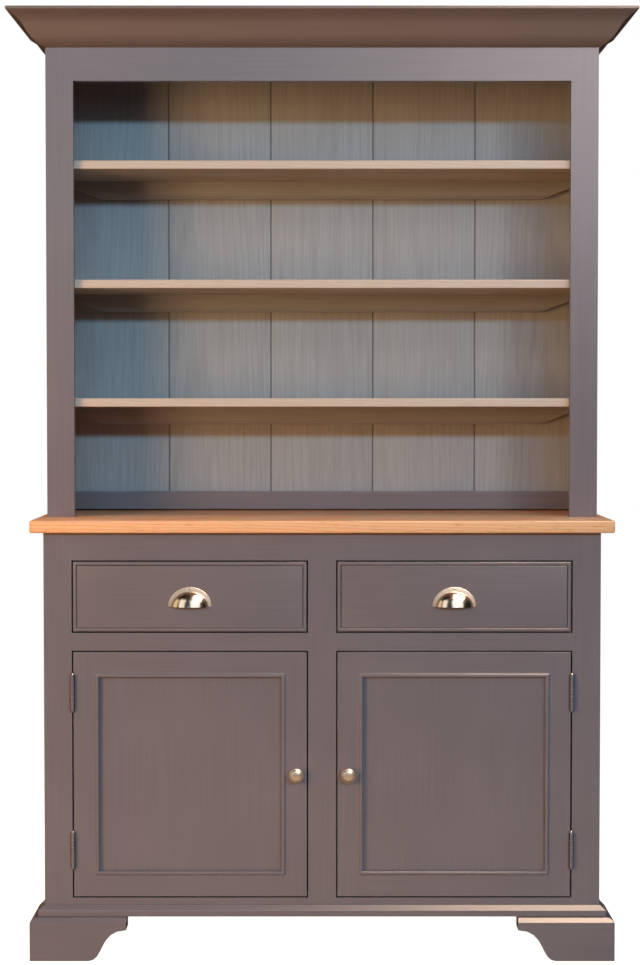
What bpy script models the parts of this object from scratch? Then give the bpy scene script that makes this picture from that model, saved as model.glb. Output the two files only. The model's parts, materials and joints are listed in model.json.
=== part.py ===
"""Painted dresser in two parts.

The base has two drawers over two panelled doors, stands on ogee bracket feet
and carries an oak worktop. The open plate rack above it has three shelves, a
boarded back and a mitred cornice. Metres, +Z up, the front faces -Y, the feet
stand on Z = 0 and the origin lies under the middle of the whole dresser.
"""

import math

import bmesh
import bpy
from mathutils import Euler, Matrix, Vector
from mathutils.geometry import interpolate_bezier

MM = 0.001

# Fits
GAP = 0.3 * MM
DOOR_GAP = 3.2 * MM
DRAWER_GAP = 2.8 * MM
SLIDE_GAP = 0.8 * MM

# Base carcass and its face frame
BASE_WIDTH = 1200 * MM
BASE_DEPTH = 450 * MM
FRAME_THICKNESS = 22 * MM
STILE_WIDTH = 60 * MM
CENTRE_STILE_WIDTH = 60 * MM
BOTTOM_RAIL_HEIGHT = 38 * MM
DOOR_OPENING_HEIGHT = 537 * MM
MIDDLE_RAIL_HEIGHT = 38 * MM
DRAWER_OPENING_HEIGHT = 157 * MM
TOP_RAIL_HEIGHT = 60 * MM
SIDE_THICKNESS = 20 * MM
BACK_THICKNESS = 10 * MM
BACK_REBATE = 10 * MM
FLOOR_THICKNESS = 18 * MM
DOOR_STOP = 8 * MM
CUPBOARD_SHELF_RISE = 265 * MM
CUPBOARD_SHELF_THICKNESS = 18 * MM
CUPBOARD_SHELF_SETBACK = 60 * MM

# Oak worktop
WORKTOP_THICKNESS = 27 * MM
WORKTOP_FRONT_OVERHANG = 25 * MM
WORKTOP_SIDE_OVERHANG = 27.5 * MM
WORKTOP_EDGE_RADIUS = 4 * MM

# Plinth moulding and bracket feet
PLINTH_HEIGHT = 13 * MM
PLINTH_BEVEL = 10 * MM
PLINTH_PROJECTION = 13 * MM
PLINTH_TOP = 1.5 * MM
FOOT_HEIGHT = 93 * MM
FOOT_WIDTH = 208 * MM
FOOT_SIDE_WIDTH = 168 * MM
FOOT_END = 26 * MM
FOOT_PROJECTION = 30 * MM
FOOT_SEAT = 18 * MM
FOOT_BEVEL = 5.5 * MM
OGEE_RUN = 82 * MM
OGEE_COVE = 60 * MM
OGEE_TOE = 35 * MM
REAR_BRACKET_WIDTH = 150 * MM
REAR_BRACKET_TOE = 90 * MM

# Drawers and their runners
DRAWER_SIDE_THICKNESS = 12 * MM
DRAWER_SIDE_HEIGHT = 132 * MM
DRAWER_BACK_DROP = 12 * MM
DRAWER_BACK_CLEARANCE = 30 * MM
DRAWER_BOTTOM_THICKNESS = 6 * MM
DRAWER_BOTTOM_RISE = 12 * MM
DRAWER_GROOVE = 6 * MM
DRAWER_BEAD_WIDTH = 8 * MM
DRAWER_BEAD_HEIGHT = 2.6 * MM
DRAWER_QUIRK = 1.6 * MM
RUNNER_LEDGE = 34 * MM
RUNNER_THICKNESS = 22 * MM
RUNNER_GUIDE_HEIGHT = 30 * MM

# Doors
DOOR_FRAME_WIDTH = 46 * MM
DOOR_BEAD_WIDTH = 9 * MM
DOOR_BEAD_HEIGHT = 4 * MM
PANEL_THICKNESS = 6 * MM
PANEL_RECESS = 9 * MM
PANEL_GROOVE = 8 * MM

# Butt hinges
HINGE_LENGTH = 76 * MM
HINGE_FROM_TOP = 91 * MM
HINGE_FROM_BOTTOM = 104 * MM
KNUCKLE_COUNT = 5
BARREL_RADIUS = 5 * MM
BARREL_CLEARANCE = 0.4 * MM
PIN_RADIUS = 2.5 * MM
FINIAL_RADIUS = 3.6 * MM
FINIAL_HEIGHT = 5 * MM
LEAF_THICKNESS = 1.2 * MM
LEAF_WIDTH = 20 * MM
LEAF_SPACE = 0.5 * MM
TAB_INSET = 0.6 * MM

# Knobs and cup pulls
KNOB_INSET = 23 * MM
KNOB_RADIUS = 16 * MM
KNOB_PROJECTION = 30 * MM
KNOB_FACE_RADIUS = 13 * MM
KNOB_DOME = 5 * MM
KNOB_STEP = 1.2 * MM
KNOB_RIM = 3.2 * MM
KNOB_NECK_RADIUS = 6.5 * MM
KNOB_ROSE_RADIUS = 9.5 * MM
KNOB_ROSE_HEIGHT = 2.5 * MM
PULL_WIDTH = 94 * MM
PULL_HEIGHT = 42 * MM
PULL_PROJECTION = 25 * MM
PULL_SIDE_FLANGE = 9 * MM
PULL_TOP_FLANGE = 11 * MM
PULL_FLANGE_THICKNESS = 2.4 * MM
PULL_WALL = 2 * MM

# Plate rack
RACK_OVERHANG = 6 * MM
RACK_SETBACK = 118 * MM
RACK_FRAME_THICKNESS = 22 * MM
RACK_STILE_WIDTH = 60 * MM
RACK_SIDE_THICKNESS = 20 * MM
RACK_BAY_HEIGHT = 243 * MM
RACK_TOP_BAY_HEIGHT = 171 * MM
RACK_RAIL_SHOWN = 72.5 * MM
RACK_TOP_THICKNESS = 18 * MM
SHELF_THICKNESS = 19 * MM
SHELF_EDGE = 1.5 * MM
BATTEN_HEIGHT = 40 * MM
BATTEN_THICKNESS = 29 * MM
BATTEN_CHAMFER = 8 * MM
BATTEN_END_LENGTH = 73 * MM
BATTEN_END_RISE = 28 * MM
BACK_RAIL_HEIGHT = 44 * MM
BACK_RAIL_THICKNESS = 20 * MM
BOARD_COUNT = 5
BOARD_THICKNESS = 12 * MM
BOARD_REBATE = 12 * MM
BOARD_JOINT_WIDTH = 3.5 * MM
BOARD_JOINT_DEPTH = 2 * MM

# Cornice
CORNICE_HEIGHT = 77 * MM
CORNICE_PROJECTION = 77 * MM
CORNICE_LIP = 6.5 * MM
CORNICE_FOOT = 3 * MM
CORNICE_OVOLO_OUT = 47 * MM
CORNICE_OVOLO_UP = 24 * MM
CORNICE_COVE_OUT = 49 * MM
CORNICE_COVE_UP = 26 * MM
CORNICE_UPSTAND = 10 * MM

# Fineness of round forms, and how far a cutter runs past what it cuts
TURNED_STEPS = 24
BARREL_STEPS = 16
CURVE_POINTS = 9
BEAD_STEPS = 6
DOME_SEGMENTS = 24
CUT_OVER = 5 * MM
WELD = 0.001 * MM

# Levels of the base, from the floor up
DOOR_Z0 = FOOT_HEIGHT + BOTTOM_RAIL_HEIGHT
DOOR_Z1 = DOOR_Z0 + DOOR_OPENING_HEIGHT
DRAWER_Z0 = DOOR_Z1 + MIDDLE_RAIL_HEIGHT
DRAWER_Z1 = DRAWER_Z0 + DRAWER_OPENING_HEIGHT
CARCASS_TOP = DRAWER_Z1 + TOP_RAIL_HEIGHT
WORKTOP_TOP = CARCASS_TOP + WORKTOP_THICKNESS

# Levels of the rack
RACK_Z0 = WORKTOP_TOP + GAP
SHELF_PITCH = RACK_BAY_HEIGHT + SHELF_THICKNESS
SHELF_NAMES = ("low", "middle", "high")
RACK_OPENING_TOP = WORKTOP_TOP + SHELF_PITCH * len(SHELF_NAMES) + RACK_TOP_BAY_HEIGHT
CORNICE_Z0 = RACK_OPENING_TOP + RACK_RAIL_SHOWN
RACK_Z1 = CORNICE_Z0 + CORNICE_HEIGHT - CORNICE_UPSTAND

# Depths, the front is at the least Y
FRONT_REACH = max(KNOB_PROJECTION, PULL_PROJECTION, FOOT_PROJECTION, WORKTOP_FRONT_OVERHANG)
FACE_Y = (FRONT_REACH - BASE_DEPTH) / 2
BACK_Y = FACE_Y + BASE_DEPTH
FRAME_BACK = FACE_Y + FRAME_THICKNESS
INSIDE_Y = FRAME_BACK + GAP
BASE_BACK_Y = BACK_Y - BACK_THICKNESS
RACK_FACE_Y = FACE_Y + RACK_SETBACK
RACK_INSIDE_Y = RACK_FACE_Y + RACK_FRAME_THICKNESS + GAP
BOARD_Y = BACK_Y - BOARD_THICKNESS

# Half widths and the edges of the openings
BASE_HALF = BASE_WIDTH / 2
BASE_INSIDE = BASE_HALF - SIDE_THICKNESS
OPENING_OUTER = BASE_HALF - STILE_WIDTH
OPENING_INNER = CENTRE_STILE_WIDTH / 2
RACK_HALF = BASE_HALF + RACK_OVERHANG
RACK_INSIDE = RACK_HALF - RACK_SIDE_THICKNESS
RACK_OPENING = RACK_HALF - RACK_STILE_WIDTH

# Door hinge: both leaves lie in the gap beside the door, the barrel in front
HINGE_GAP = 2 * (LEAF_THICKNESS + GAP) + LEAF_SPACE
HINGE_X = OPENING_OUTER - HINGE_GAP / 2
HINGE_Y = FACE_Y - BARREL_RADIUS - BARREL_CLEARANCE
BORE_RADIUS = PIN_RADIUS + GAP

SIDES = (("left", -1), ("right", 1))
UPRIGHT = Euler((0, 0, 0))
ALONG_Y = Euler((math.pi / 2, 0, 0))
ALONG_X = Euler((math.pi / 2, 0, math.pi / 2))

for old_object in list(bpy.data.objects):
    bpy.data.objects.remove(old_object, do_unlink=True)

PARTS = bpy.data.collections.new("china_cabinet")
CUTTERS = bpy.data.collections.new("cutters")
for collection in (PARTS, CUTTERS):
    bpy.context.scene.collection.children.link(collection)


def finish(name, colour, roughness, metallic=0.0):
    """A material of one colour, roughness and metallic value."""
    material = bpy.data.materials.new(name)
    material.use_nodes = True
    shader = material.node_tree.nodes["Principled BSDF"]
    shader.inputs["Base Color"].default_value = (*colour, 1.0)
    shader.inputs["Roughness"].default_value = roughness
    shader.inputs["Metallic"].default_value = metallic
    return material


TAUPE_PAINT = finish("taupe_paint", (0.19, 0.15, 0.14), 0.5)
UMBER_PAINT = finish("umber_paint", (0.17, 0.10, 0.07), 0.5)
STONE_PAINT = finish("stone_paint", (0.32, 0.30, 0.27), 0.55)
OAK = finish("oiled_oak", (0.55, 0.30, 0.14), 0.45)
PALE_OAK = finish("pale_oak", (0.52, 0.38, 0.27), 0.5)
PINE = finish("bare_pine", (0.60, 0.43, 0.26), 0.6)
NICKEL = finish("satin_nickel", (0.62, 0.57, 0.50), 0.28, 1.0)
STEEL = finish("dull_steel", (0.28, 0.26, 0.25), 0.4, 1.0)


def place(obj, location, turn, parent):
    """Put an object in the world, carried by its joint's empty if it has one."""
    obj.matrix_basis = Matrix.Translation(location) @ turn.to_matrix().to_4x4()
    if parent is not None:
        obj.parent = parent
        obj.matrix_parent_inverse = parent.matrix_basis.inverted()


def add_part(name, mesh, material, location=(0, 0, 0), turn=UPRIGHT, parent=None):
    """One named piece of the dresser."""
    obj = bpy.data.objects.new(name, mesh)
    mesh.materials.append(material)
    PARTS.objects.link(obj)
    place(obj, location, turn, parent)
    return obj


def add_cutter(name, mesh, location=(0, 0, 0), turn=UPRIGHT, parent=None):
    """A helper shape that cuts a piece or is joined to one."""
    obj = bpy.data.objects.new(name, mesh)
    CUTTERS.objects.link(obj)
    obj.hide_render = True
    obj.display_type = "WIRE"
    place(obj, location, turn, parent)
    return obj


def combine(obj, helper, operation):
    """Cut the helper from the piece, or join it on."""
    modifier = obj.modifiers.new(helper.name, "BOOLEAN")
    modifier.operation = operation
    modifier.object = helper


def joint_empty(name, location):
    """The point on a joint's axis that carries what moves there."""
    empty = bpy.data.objects.new(name, None)
    PARTS.objects.link(empty)
    empty.matrix_basis = Matrix.Translation(location)
    return empty


def to_mesh(bm, name):
    """The finished mesh, welded and with its faces pointing out."""
    bmesh.ops.remove_doubles(bm, verts=bm.verts, dist=WELD)
    bmesh.ops.recalc_face_normals(bm, faces=bm.faces)
    mesh = bpy.data.meshes.new(name)
    bm.to_mesh(mesh)
    bm.free()
    return mesh


def box_bmesh(size):
    """A box round the origin."""
    bm = bmesh.new()
    bmesh.ops.create_cube(bm, size=1.0)
    bmesh.ops.scale(bm, vec=Vector(size), verts=bm.verts)
    return bm


def span(x, y, z):
    """Size and middle of the box between three pairs of limits."""
    size = [high - low for low, high in (x, y, z)]
    middle = [(high + low) / 2 for low, high in (x, y, z)]
    return size, middle


def board(name, x, y, z, material, parent=None):
    """A plain rectangular board."""
    size, middle = span(x, y, z)
    return add_part(name, to_mesh(box_bmesh(size), name), material, middle, parent=parent)


def outline_bmesh(points, thickness):
    """A flat outline drawn as a filled 2D curve and given its thickness."""
    curve = bpy.data.curves.new("outline", "CURVE")
    curve.dimensions = "2D"
    curve.fill_mode = "BOTH"
    curve.extrude = thickness / 2
    spline = curve.splines.new("POLY")
    spline.points.add(len(points) - 1)
    for point, (across, up) in zip(spline.points, points):
        point.co = (across, up, 0, 1)
    spline.use_cyclic_u = True
    drawing = bpy.data.objects.new("outline", curve)
    CUTTERS.objects.link(drawing)
    depsgraph = bpy.context.evaluated_depsgraph_get()
    mesh = bpy.data.meshes.new_from_object(drawing.evaluated_get(depsgraph))
    bpy.data.objects.remove(drawing)
    bm = bmesh.new()
    bm.from_mesh(mesh)
    bpy.data.meshes.remove(mesh)
    bmesh.ops.remove_doubles(bm, verts=bm.verts, dist=WELD)
    bmesh.ops.recalc_face_normals(bm, faces=bm.faces)
    return bm


def middle_of(limits, turn):
    """Where an outline that was turned lies along its thickness."""
    middle = (limits[0] + limits[1]) / 2
    return turn.to_matrix() @ Vector((0, 0, middle))


def prism(name, points, limits, turn, material, parent=None):
    """A piece of one section: the outline, between two limits along its length."""
    bm = outline_bmesh(points, limits[1] - limits[0])
    return add_part(name, to_mesh(bm, name), material, middle_of(limits, turn), turn, parent)


def prism_cutter(name, points, limits, turn):
    """The same shape as a cutter."""
    bm = outline_bmesh(points, limits[1] - limits[0])
    return add_cutter(name, to_mesh(bm, name), middle_of(limits, turn), turn)


def reach(low, high):
    """Limits along Y for an outline drawn in X and Z, whose thickness runs to -Y."""
    return (-high, -low)


def turned_mesh(name, profile, closed=False):
    """The line that a turned piece is spun from, radius by height."""
    mesh = bpy.data.meshes.new(name)
    points = [(radius, 0, height) for radius, height in profile]
    lines = [(index, index + 1) for index in range(len(points) - 1)]
    if closed:
        lines.append((len(points) - 1, 0))
    mesh.from_pydata(points, lines, [])
    return mesh


def spin(obj, steps):
    """Turn a profile round its own upright axis."""
    screw = obj.modifiers.new("turn", "SCREW")
    screw.steps = steps
    screw.render_steps = steps
    screw.use_merge_vertices = True
    screw.merge_threshold = WELD
    screw.use_smooth_shade = True


def angle_steps(start, end, count):
    """Angles from start to end, both included."""
    return [start + (end - start) * index / count for index in range(count + 1)]


def bezier(points, count):
    """Points along one cubic curve drawn in a plane."""
    return [tuple(point) for point in interpolate_bezier(*map(Vector, points), count)]


def half_round(width, height):
    """Inset and rise of each step across a half-round bead."""
    rings = []
    angles = angle_steps(0, math.pi, BEAD_STEPS)
    for start, end in zip(angles, angles[1:]):
        inset = (math.cos(start) - math.cos(end)) * width / 2
        rise = (math.sin(end) - math.sin(start)) * height
        rings.append((inset, rise))
    return rings


def run_rings(bm, face, rings):
    """Work a moulding round the edge of a face, mitred at its corners."""
    for inset, rise in rings:
        bmesh.ops.inset_region(
            bm, faces=[face], thickness=inset, depth=rise, use_even_offset=True, use_boundary=True
        )


def face_towards(bm, direction):
    """The one face of a box that looks along a direction."""
    return max(bm.faces, key=lambda face: face.normal.dot(Vector(direction)))


# Base carcass: two sides rebated for the back, a back and a cupboard floor
for side, sign in SIDES:
    prism(
        f"base_{side}_side",
        [
            (sign * BASE_HALF, INSIDE_Y),
            (sign * BASE_HALF, BACK_Y),
            (sign * (BASE_INSIDE + BACK_REBATE), BACK_Y),
            (sign * (BASE_INSIDE + BACK_REBATE), BASE_BACK_Y - GAP),
            (sign * BASE_INSIDE, BASE_BACK_Y - GAP),
            (sign * BASE_INSIDE, INSIDE_Y),
        ],
        (FOOT_HEIGHT, CARCASS_TOP - GAP),
        UPRIGHT,
        TAUPE_PAINT,
    )

BASE_BACK_HALF = BASE_INSIDE + BACK_REBATE - GAP
board(
    "base_back",
    (-BASE_BACK_HALF, BASE_BACK_HALF),
    (BASE_BACK_Y, BACK_Y),
    (FOOT_HEIGHT, CARCASS_TOP - GAP),
    PINE,
)

INSIDE_X = (GAP - BASE_INSIDE, BASE_INSIDE - GAP)
FLOOR_TOP = DOOR_Z0 + DOOR_STOP
board(
    "base_floor",
    INSIDE_X,
    (INSIDE_Y, BASE_BACK_Y - GAP),
    (FLOOR_TOP - FLOOR_THICKNESS, FLOOR_TOP),
    PINE,
)

CUPBOARD_SHELF_Z0 = FLOOR_TOP + CUPBOARD_SHELF_RISE
board(
    "cupboard_shelf",
    INSIDE_X,
    (INSIDE_Y + CUPBOARD_SHELF_SETBACK, BASE_BACK_Y - GAP),
    (CUPBOARD_SHELF_Z0, CUPBOARD_SHELF_Z0 + CUPBOARD_SHELF_THICKNESS),
    PINE,
)

# Base face frame: the rails stand between the outer stiles, and the middle rail
# crosses the centre stile in a halving joint
for side, sign in SIDES:
    board(
        f"base_{side}_stile",
        sorted((sign * OPENING_OUTER, sign * BASE_HALF)),
        (FACE_Y, FRAME_BACK),
        (FOOT_HEIGHT, CARCASS_TOP - GAP),
        TAUPE_PAINT,
    )

RAIL_X = (GAP - OPENING_OUTER, OPENING_OUTER - GAP)
board("base_bottom_rail", RAIL_X, (FACE_Y, FRAME_BACK), (FOOT_HEIGHT, DOOR_Z0), TAUPE_PAINT)
board("base_top_rail", RAIL_X, (FACE_Y, FRAME_BACK), (DRAWER_Z1, CARCASS_TOP - GAP), TAUPE_PAINT)

HALVING_Y = FACE_Y + FRAME_THICKNESS / 2
HALVING_X = OPENING_INNER + GAP
prism(
    "base_middle_rail",
    [
        (RAIL_X[0], FRAME_BACK),
        (RAIL_X[0], FACE_Y),
        (-HALVING_X, FACE_Y),
        (-HALVING_X, HALVING_Y + GAP),
        (HALVING_X, HALVING_Y + GAP),
        (HALVING_X, FACE_Y),
        (RAIL_X[1], FACE_Y),
        (RAIL_X[1], FRAME_BACK),
    ],
    (DOOR_Z1, DRAWER_Z0),
    UPRIGHT,
    TAUPE_PAINT,
)
prism(
    "base_centre_stile",
    [
        (FACE_Y, DOOR_Z0 + GAP),
        (FRAME_BACK, DOOR_Z0 + GAP),
        (FRAME_BACK, DOOR_Z1 - GAP),
        (HALVING_Y, DOOR_Z1 - GAP),
        (HALVING_Y, DRAWER_Z0 + GAP),
        (FRAME_BACK, DRAWER_Z0 + GAP),
        (FRAME_BACK, DRAWER_Z1 - GAP),
        (FACE_Y, DRAWER_Z1 - GAP),
    ],
    (-OPENING_INNER, OPENING_INNER),
    ALONG_X,
    TAUPE_PAINT,
)

# Drawer runners: a ledge level with the middle rail, and a rib that guides the
# drawer's side
DRAWER_OUTER = OPENING_OUTER - DRAWER_GAP
DRAWER_INNER = OPENING_INNER + DRAWER_GAP
RUNNER_Z = (DRAWER_Z0 - RUNNER_THICKNESS, DRAWER_Z0, DRAWER_Z0 + RUNNER_GUIDE_HEIGHT)
RUNNER_Y = reach(INSIDE_Y, BASE_BACK_Y - GAP)
for side, sign in SIDES:
    wall = sign * (BASE_INSIDE - GAP)
    rib = sign * (DRAWER_OUTER + SLIDE_GAP)
    ledge = sign * (OPENING_OUTER - RUNNER_LEDGE)
    prism(
        f"drawer_runner_{side}",
        [
            (wall, RUNNER_Z[0]),
            (ledge, RUNNER_Z[0]),
            (ledge, RUNNER_Z[1]),
            (rib, RUNNER_Z[1]),
            (rib, RUNNER_Z[2]),
            (wall, RUNNER_Z[2]),
        ],
        RUNNER_Y,
        ALONG_Y,
        PINE,
    )

CENTRE_RIB = DRAWER_INNER - SLIDE_GAP
CENTRE_LEDGE = OPENING_INNER + RUNNER_LEDGE
prism(
    "drawer_runner_centre",
    [
        (-CENTRE_LEDGE, RUNNER_Z[0]),
        (CENTRE_LEDGE, RUNNER_Z[0]),
        (CENTRE_LEDGE, RUNNER_Z[1]),
        (CENTRE_RIB, RUNNER_Z[1]),
        (CENTRE_RIB, RUNNER_Z[2]),
        (-CENTRE_RIB, RUNNER_Z[2]),
        (-CENTRE_RIB, RUNNER_Z[1]),
        (-CENTRE_LEDGE, RUNNER_Z[1]),
    ],
    RUNNER_Y,
    ALONG_Y,
    PINE,
)

# Oak worktop with eased edges
WORKTOP_HALF = BASE_HALF + WORKTOP_SIDE_OVERHANG
worktop = board(
    "worktop",
    (-WORKTOP_HALF, WORKTOP_HALF),
    (FACE_Y - WORKTOP_FRONT_OVERHANG, BACK_Y),
    (CARCASS_TOP, WORKTOP_TOP),
    OAK,
)
edge_round = worktop.modifiers.new("eased_edges", "BEVEL")
edge_round.width = WORKTOP_EDGE_RADIUS
edge_round.segments = 3


def plinth_moulding():
    """A moulding mitred round the front and sides, upright below and bevelled above."""
    outer = BASE_HALF + PLINTH_PROJECTION
    inner = BASE_HALF + GAP
    front = FACE_Y - PLINTH_PROJECTION
    seat = FACE_Y - GAP
    plan = [
        (-outer, BACK_Y),
        (-outer, front),
        (outer, front),
        (outer, BACK_Y),
        (inner, BACK_Y),
        (inner, seat),
        (-inner, seat),
        (-inner, BACK_Y),
    ]
    bm = outline_bmesh(plan, PLINTH_HEIGHT)
    top = [face for face in bm.faces if face.normal.z > 0.9]
    raised = bmesh.ops.extrude_face_region(bm, geom=top)["geom"]
    bmesh.ops.delete(bm, geom=top, context="FACES")
    ridge = inner + PLINTH_TOP
    for vertex in raised:
        if isinstance(vertex, bmesh.types.BMVert):
            vertex.co.z += PLINTH_BEVEL
            vertex.co.x = max(-ridge, min(ridge, vertex.co.x))
            vertex.co.y = max(seat - PLINTH_TOP, vertex.co.y)
    middle = FOOT_HEIGHT + PLINTH_HEIGHT / 2
    add_part("plinth_moulding", to_mesh(bm, "plinth_moulding"), TAUPE_PAINT, (0, 0, middle))


plinth_moulding()


def ogee(width):
    """The lower edge of a bracket of this width, from the toe on the floor to its end."""
    rise = FOOT_HEIGHT - FOOT_END
    toe = width - OGEE_RUN
    return bezier([(toe, 0), (toe + OGEE_TOE, 0), (width - OGEE_COVE, rise), (width, rise)], CURVE_POINTS)


def under(edge):
    """The space below a bracket's lower edge, for a cutter."""
    end = edge[-1][0] + CUT_OVER
    return [(edge[0][0], -CUT_OVER)] + edge + [(end, edge[-1][1]), (end, -CUT_OVER)]


def bracket_foot(name, sign, corner_y, inward, across, seat):
    """A corner foot of two brackets. The side bracket is an ogee, the other has
    its own lower edge (across) and thickness (seat)."""
    corner_x = sign * (BASE_HALF + FOOT_PROJECTION)
    side_seat = FOOT_PROJECTION + FOOT_SEAT
    length = across[-1][0]
    plan = [
        (0, 0),
        (length, 0),
        (length, seat),
        (side_seat, seat),
        (side_seat, FOOT_SIDE_WIDTH),
        (0, FOOT_SIDE_WIDTH),
    ]
    height = FOOT_HEIGHT - GAP
    bm = outline_bmesh([(corner_x - sign * u, corner_y + inward * v) for u, v in plan], height)
    crown = []
    for edge in bm.edges:
        at_top = all(vertex.co.z > 0 for vertex in edge.verts)
        on_side = all(abs(vertex.co.x - corner_x) < WELD for vertex in edge.verts)
        on_front = all(abs(vertex.co.y - corner_y) < WELD for vertex in edge.verts)
        if at_top and (on_side or (on_front and inward > 0)):
            crown.append(edge)
    bmesh.ops.bevel(bm, geom=crown, offset=FOOT_BEVEL, segments=1, affect="EDGES", profile=0.5)
    foot = add_part(name, to_mesh(bm, name), TAUPE_PAINT, (0, 0, height / 2))
    below = [(corner_x - sign * u, z) for u, z in under(across)]
    depth = sorted((corner_y - inward * CUT_OVER, corner_y + inward * (seat + CUT_OVER)))
    combine(foot, prism_cutter(f"{name}_across", below, reach(*depth), ALONG_Y), "DIFFERENCE")
    beside = [(corner_y + inward * v, z) for v, z in under(ogee(FOOT_SIDE_WIDTH))]
    width = sorted((corner_x + sign * CUT_OVER, corner_x - sign * (side_seat + CUT_OVER)))
    combine(foot, prism_cutter(f"{name}_side", beside, width, ALONG_X), "DIFFERENCE")


REAR_EDGE = [(REAR_BRACKET_TOE, 0), (REAR_BRACKET_WIDTH, FOOT_HEIGHT - FOOT_END)]
for side, sign in SIDES:
    front_y = FACE_Y - FOOT_PROJECTION
    bracket_foot(f"foot_front_{side}", sign, front_y, 1, ogee(FOOT_WIDTH), FOOT_PROJECTION + FOOT_SEAT)
    bracket_foot(f"foot_back_{side}", sign, BACK_Y, -1, REAR_EDGE, FOOT_SEAT)


def hinge_leaf_outline(z0, tab_y, first, trim):
    """A hinge leaf seen from its face: a plate with a tab to each of its knuckles."""
    knuckle = HINGE_LENGTH / KNUCKLE_COUNT
    back = FACE_Y + LEAF_WIDTH
    outline = [(back, z0), (back, z0 + HINGE_LENGTH), (FACE_Y, z0 + HINGE_LENGTH)]
    for index in range(first, KNUCKLE_COUNT, 2):
        upper = z0 + HINGE_LENGTH - index * knuckle - trim
        lower = z0 + HINGE_LENGTH - (index + 1) * knuckle + trim
        outline += [(FACE_Y, upper), (tab_y, upper), (tab_y, lower), (FACE_Y, lower)]
    return outline + [(FACE_Y, z0)]


def pin_profile():
    """The frame leaf's knuckles, the pin through the others, and both finials."""
    knuckle = HINGE_LENGTH / KNUCKLE_COUNT
    cap = [
        (FINIAL_RADIUS * math.sin(angle), FINIAL_HEIGHT * math.cos(angle))
        for angle in angle_steps(0, math.pi / 2, 3)
    ]
    profile = [(radius, HINGE_LENGTH + height) for radius, height in cap]
    for index in range(0, KNUCKLE_COUNT, 2):
        upper = HINGE_LENGTH - index * knuckle
        lower = upper - knuckle
        if index > 0:
            profile.append((PIN_RADIUS, upper))
        profile += [(BARREL_RADIUS, upper), (BARREL_RADIUS, lower)]
        if index < KNUCKLE_COUNT - 1:
            profile.append((PIN_RADIUS, lower))
    return profile + [(radius, -height) for radius, height in reversed(cap)]


def butt_hinge(name, sign, middle_z, door):
    """One hinge: the frame leaf carries the pin, the door leaf turns on it."""
    z0 = middle_z - HINGE_LENGTH / 2
    axis_x = sign * HINGE_X
    knuckle = HINGE_LENGTH / KNUCKLE_COUNT
    leaf_near = LEAF_SPACE / 2
    leaf_far = leaf_near + LEAF_THICKNESS

    frame_x = sorted((axis_x + sign * leaf_near, axis_x + sign * leaf_far))
    outline = hinge_leaf_outline(z0, HINGE_Y, 0, TAB_INSET)
    frame_leaf = prism(f"{name}_frame_leaf", outline, frame_x, ALONG_X, STEEL)
    pin = add_cutter(f"{name}_pin", turned_mesh(f"{name}_pin", pin_profile()), (axis_x, HINGE_Y, z0))
    spin(pin, BARREL_STEPS)
    combine(frame_leaf, pin, "UNION")

    door_x = sorted((axis_x - sign * leaf_near, axis_x - sign * leaf_far))
    tab_y = HINGE_Y + (BORE_RADIUS + BARREL_RADIUS) / 2
    outline = hinge_leaf_outline(z0, tab_y, 1, GAP + TAB_INSET)
    door_leaf = prism(f"{name}_door_leaf", outline, door_x, ALONG_X, STEEL, door)
    for index in range(1, KNUCKLE_COUNT, 2):
        upper = knuckle - GAP
        ring = [(BARREL_RADIUS, upper), (BARREL_RADIUS, GAP), (BORE_RADIUS, GAP), (BORE_RADIUS, upper)]
        base = z0 + HINGE_LENGTH - (index + 1) * knuckle
        mesh = turned_mesh(f"{name}_knuckle_{index}", ring, closed=True)
        tube = add_cutter(f"{name}_knuckle_{index}", mesh, (axis_x, HINGE_Y, base), parent=door)
        spin(tube, BARREL_STEPS)
        combine(door_leaf, tube, "UNION")


def door_frame(name, x, z, door):
    """Stiles and rails glued up as one frame, beaded round its opening and grooved
    inside for the panel."""
    size, middle = span(x, (FACE_Y, FRAME_BACK), z)
    bm = box_bmesh(size)
    front = face_towards(bm, (0, -1, 0))
    back = face_towards(bm, (0, 1, 0))
    run_rings(bm, front, [(DOOR_FRAME_WIDTH, 0)] + half_round(DOOR_BEAD_WIDTH, DOOR_BEAD_HEIGHT))
    run_rings(bm, back, [(DOOR_FRAME_WIDTH + DOOR_BEAD_WIDTH, 0)])
    rim = list(front.edges) + list(back.edges)
    bmesh.ops.delete(bm, geom=[front, back], context="FACES_ONLY")
    bmesh.ops.bridge_loops(bm, edges=rim)
    return add_part(name, to_mesh(bm, name), TAUPE_PAINT, middle, parent=door)


def knob_profile():
    """A turned knob from the middle of its domed face down to its rose."""
    length = KNOB_PROJECTION - GAP
    rim_top = length - KNOB_DOME - KNOB_STEP
    rim_foot = rim_top - KNOB_RIM
    profile = [
        (KNOB_FACE_RADIUS * math.sin(angle), length - KNOB_DOME * (1 - math.cos(angle)))
        for angle in angle_steps(0, math.pi / 2, 4)
    ]
    profile += [(KNOB_FACE_RADIUS, rim_top), (KNOB_RADIUS, rim_top), (KNOB_RADIUS, rim_foot)]
    flare = KNOB_RADIUS - KNOB_NECK_RADIUS
    drop = (rim_foot - KNOB_ROSE_HEIGHT) / 2
    for angle in angle_steps(0, math.pi / 2, 3)[1:]:
        radius = KNOB_RADIUS - flare * math.sin(angle)
        profile.append((radius, rim_foot - drop * (1 - math.cos(angle))))
    profile += [(KNOB_NECK_RADIUS, KNOB_ROSE_HEIGHT), (KNOB_ROSE_RADIUS, KNOB_ROSE_HEIGHT)]
    return profile + [(KNOB_ROSE_RADIUS, 0), (0, 0)]


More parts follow.
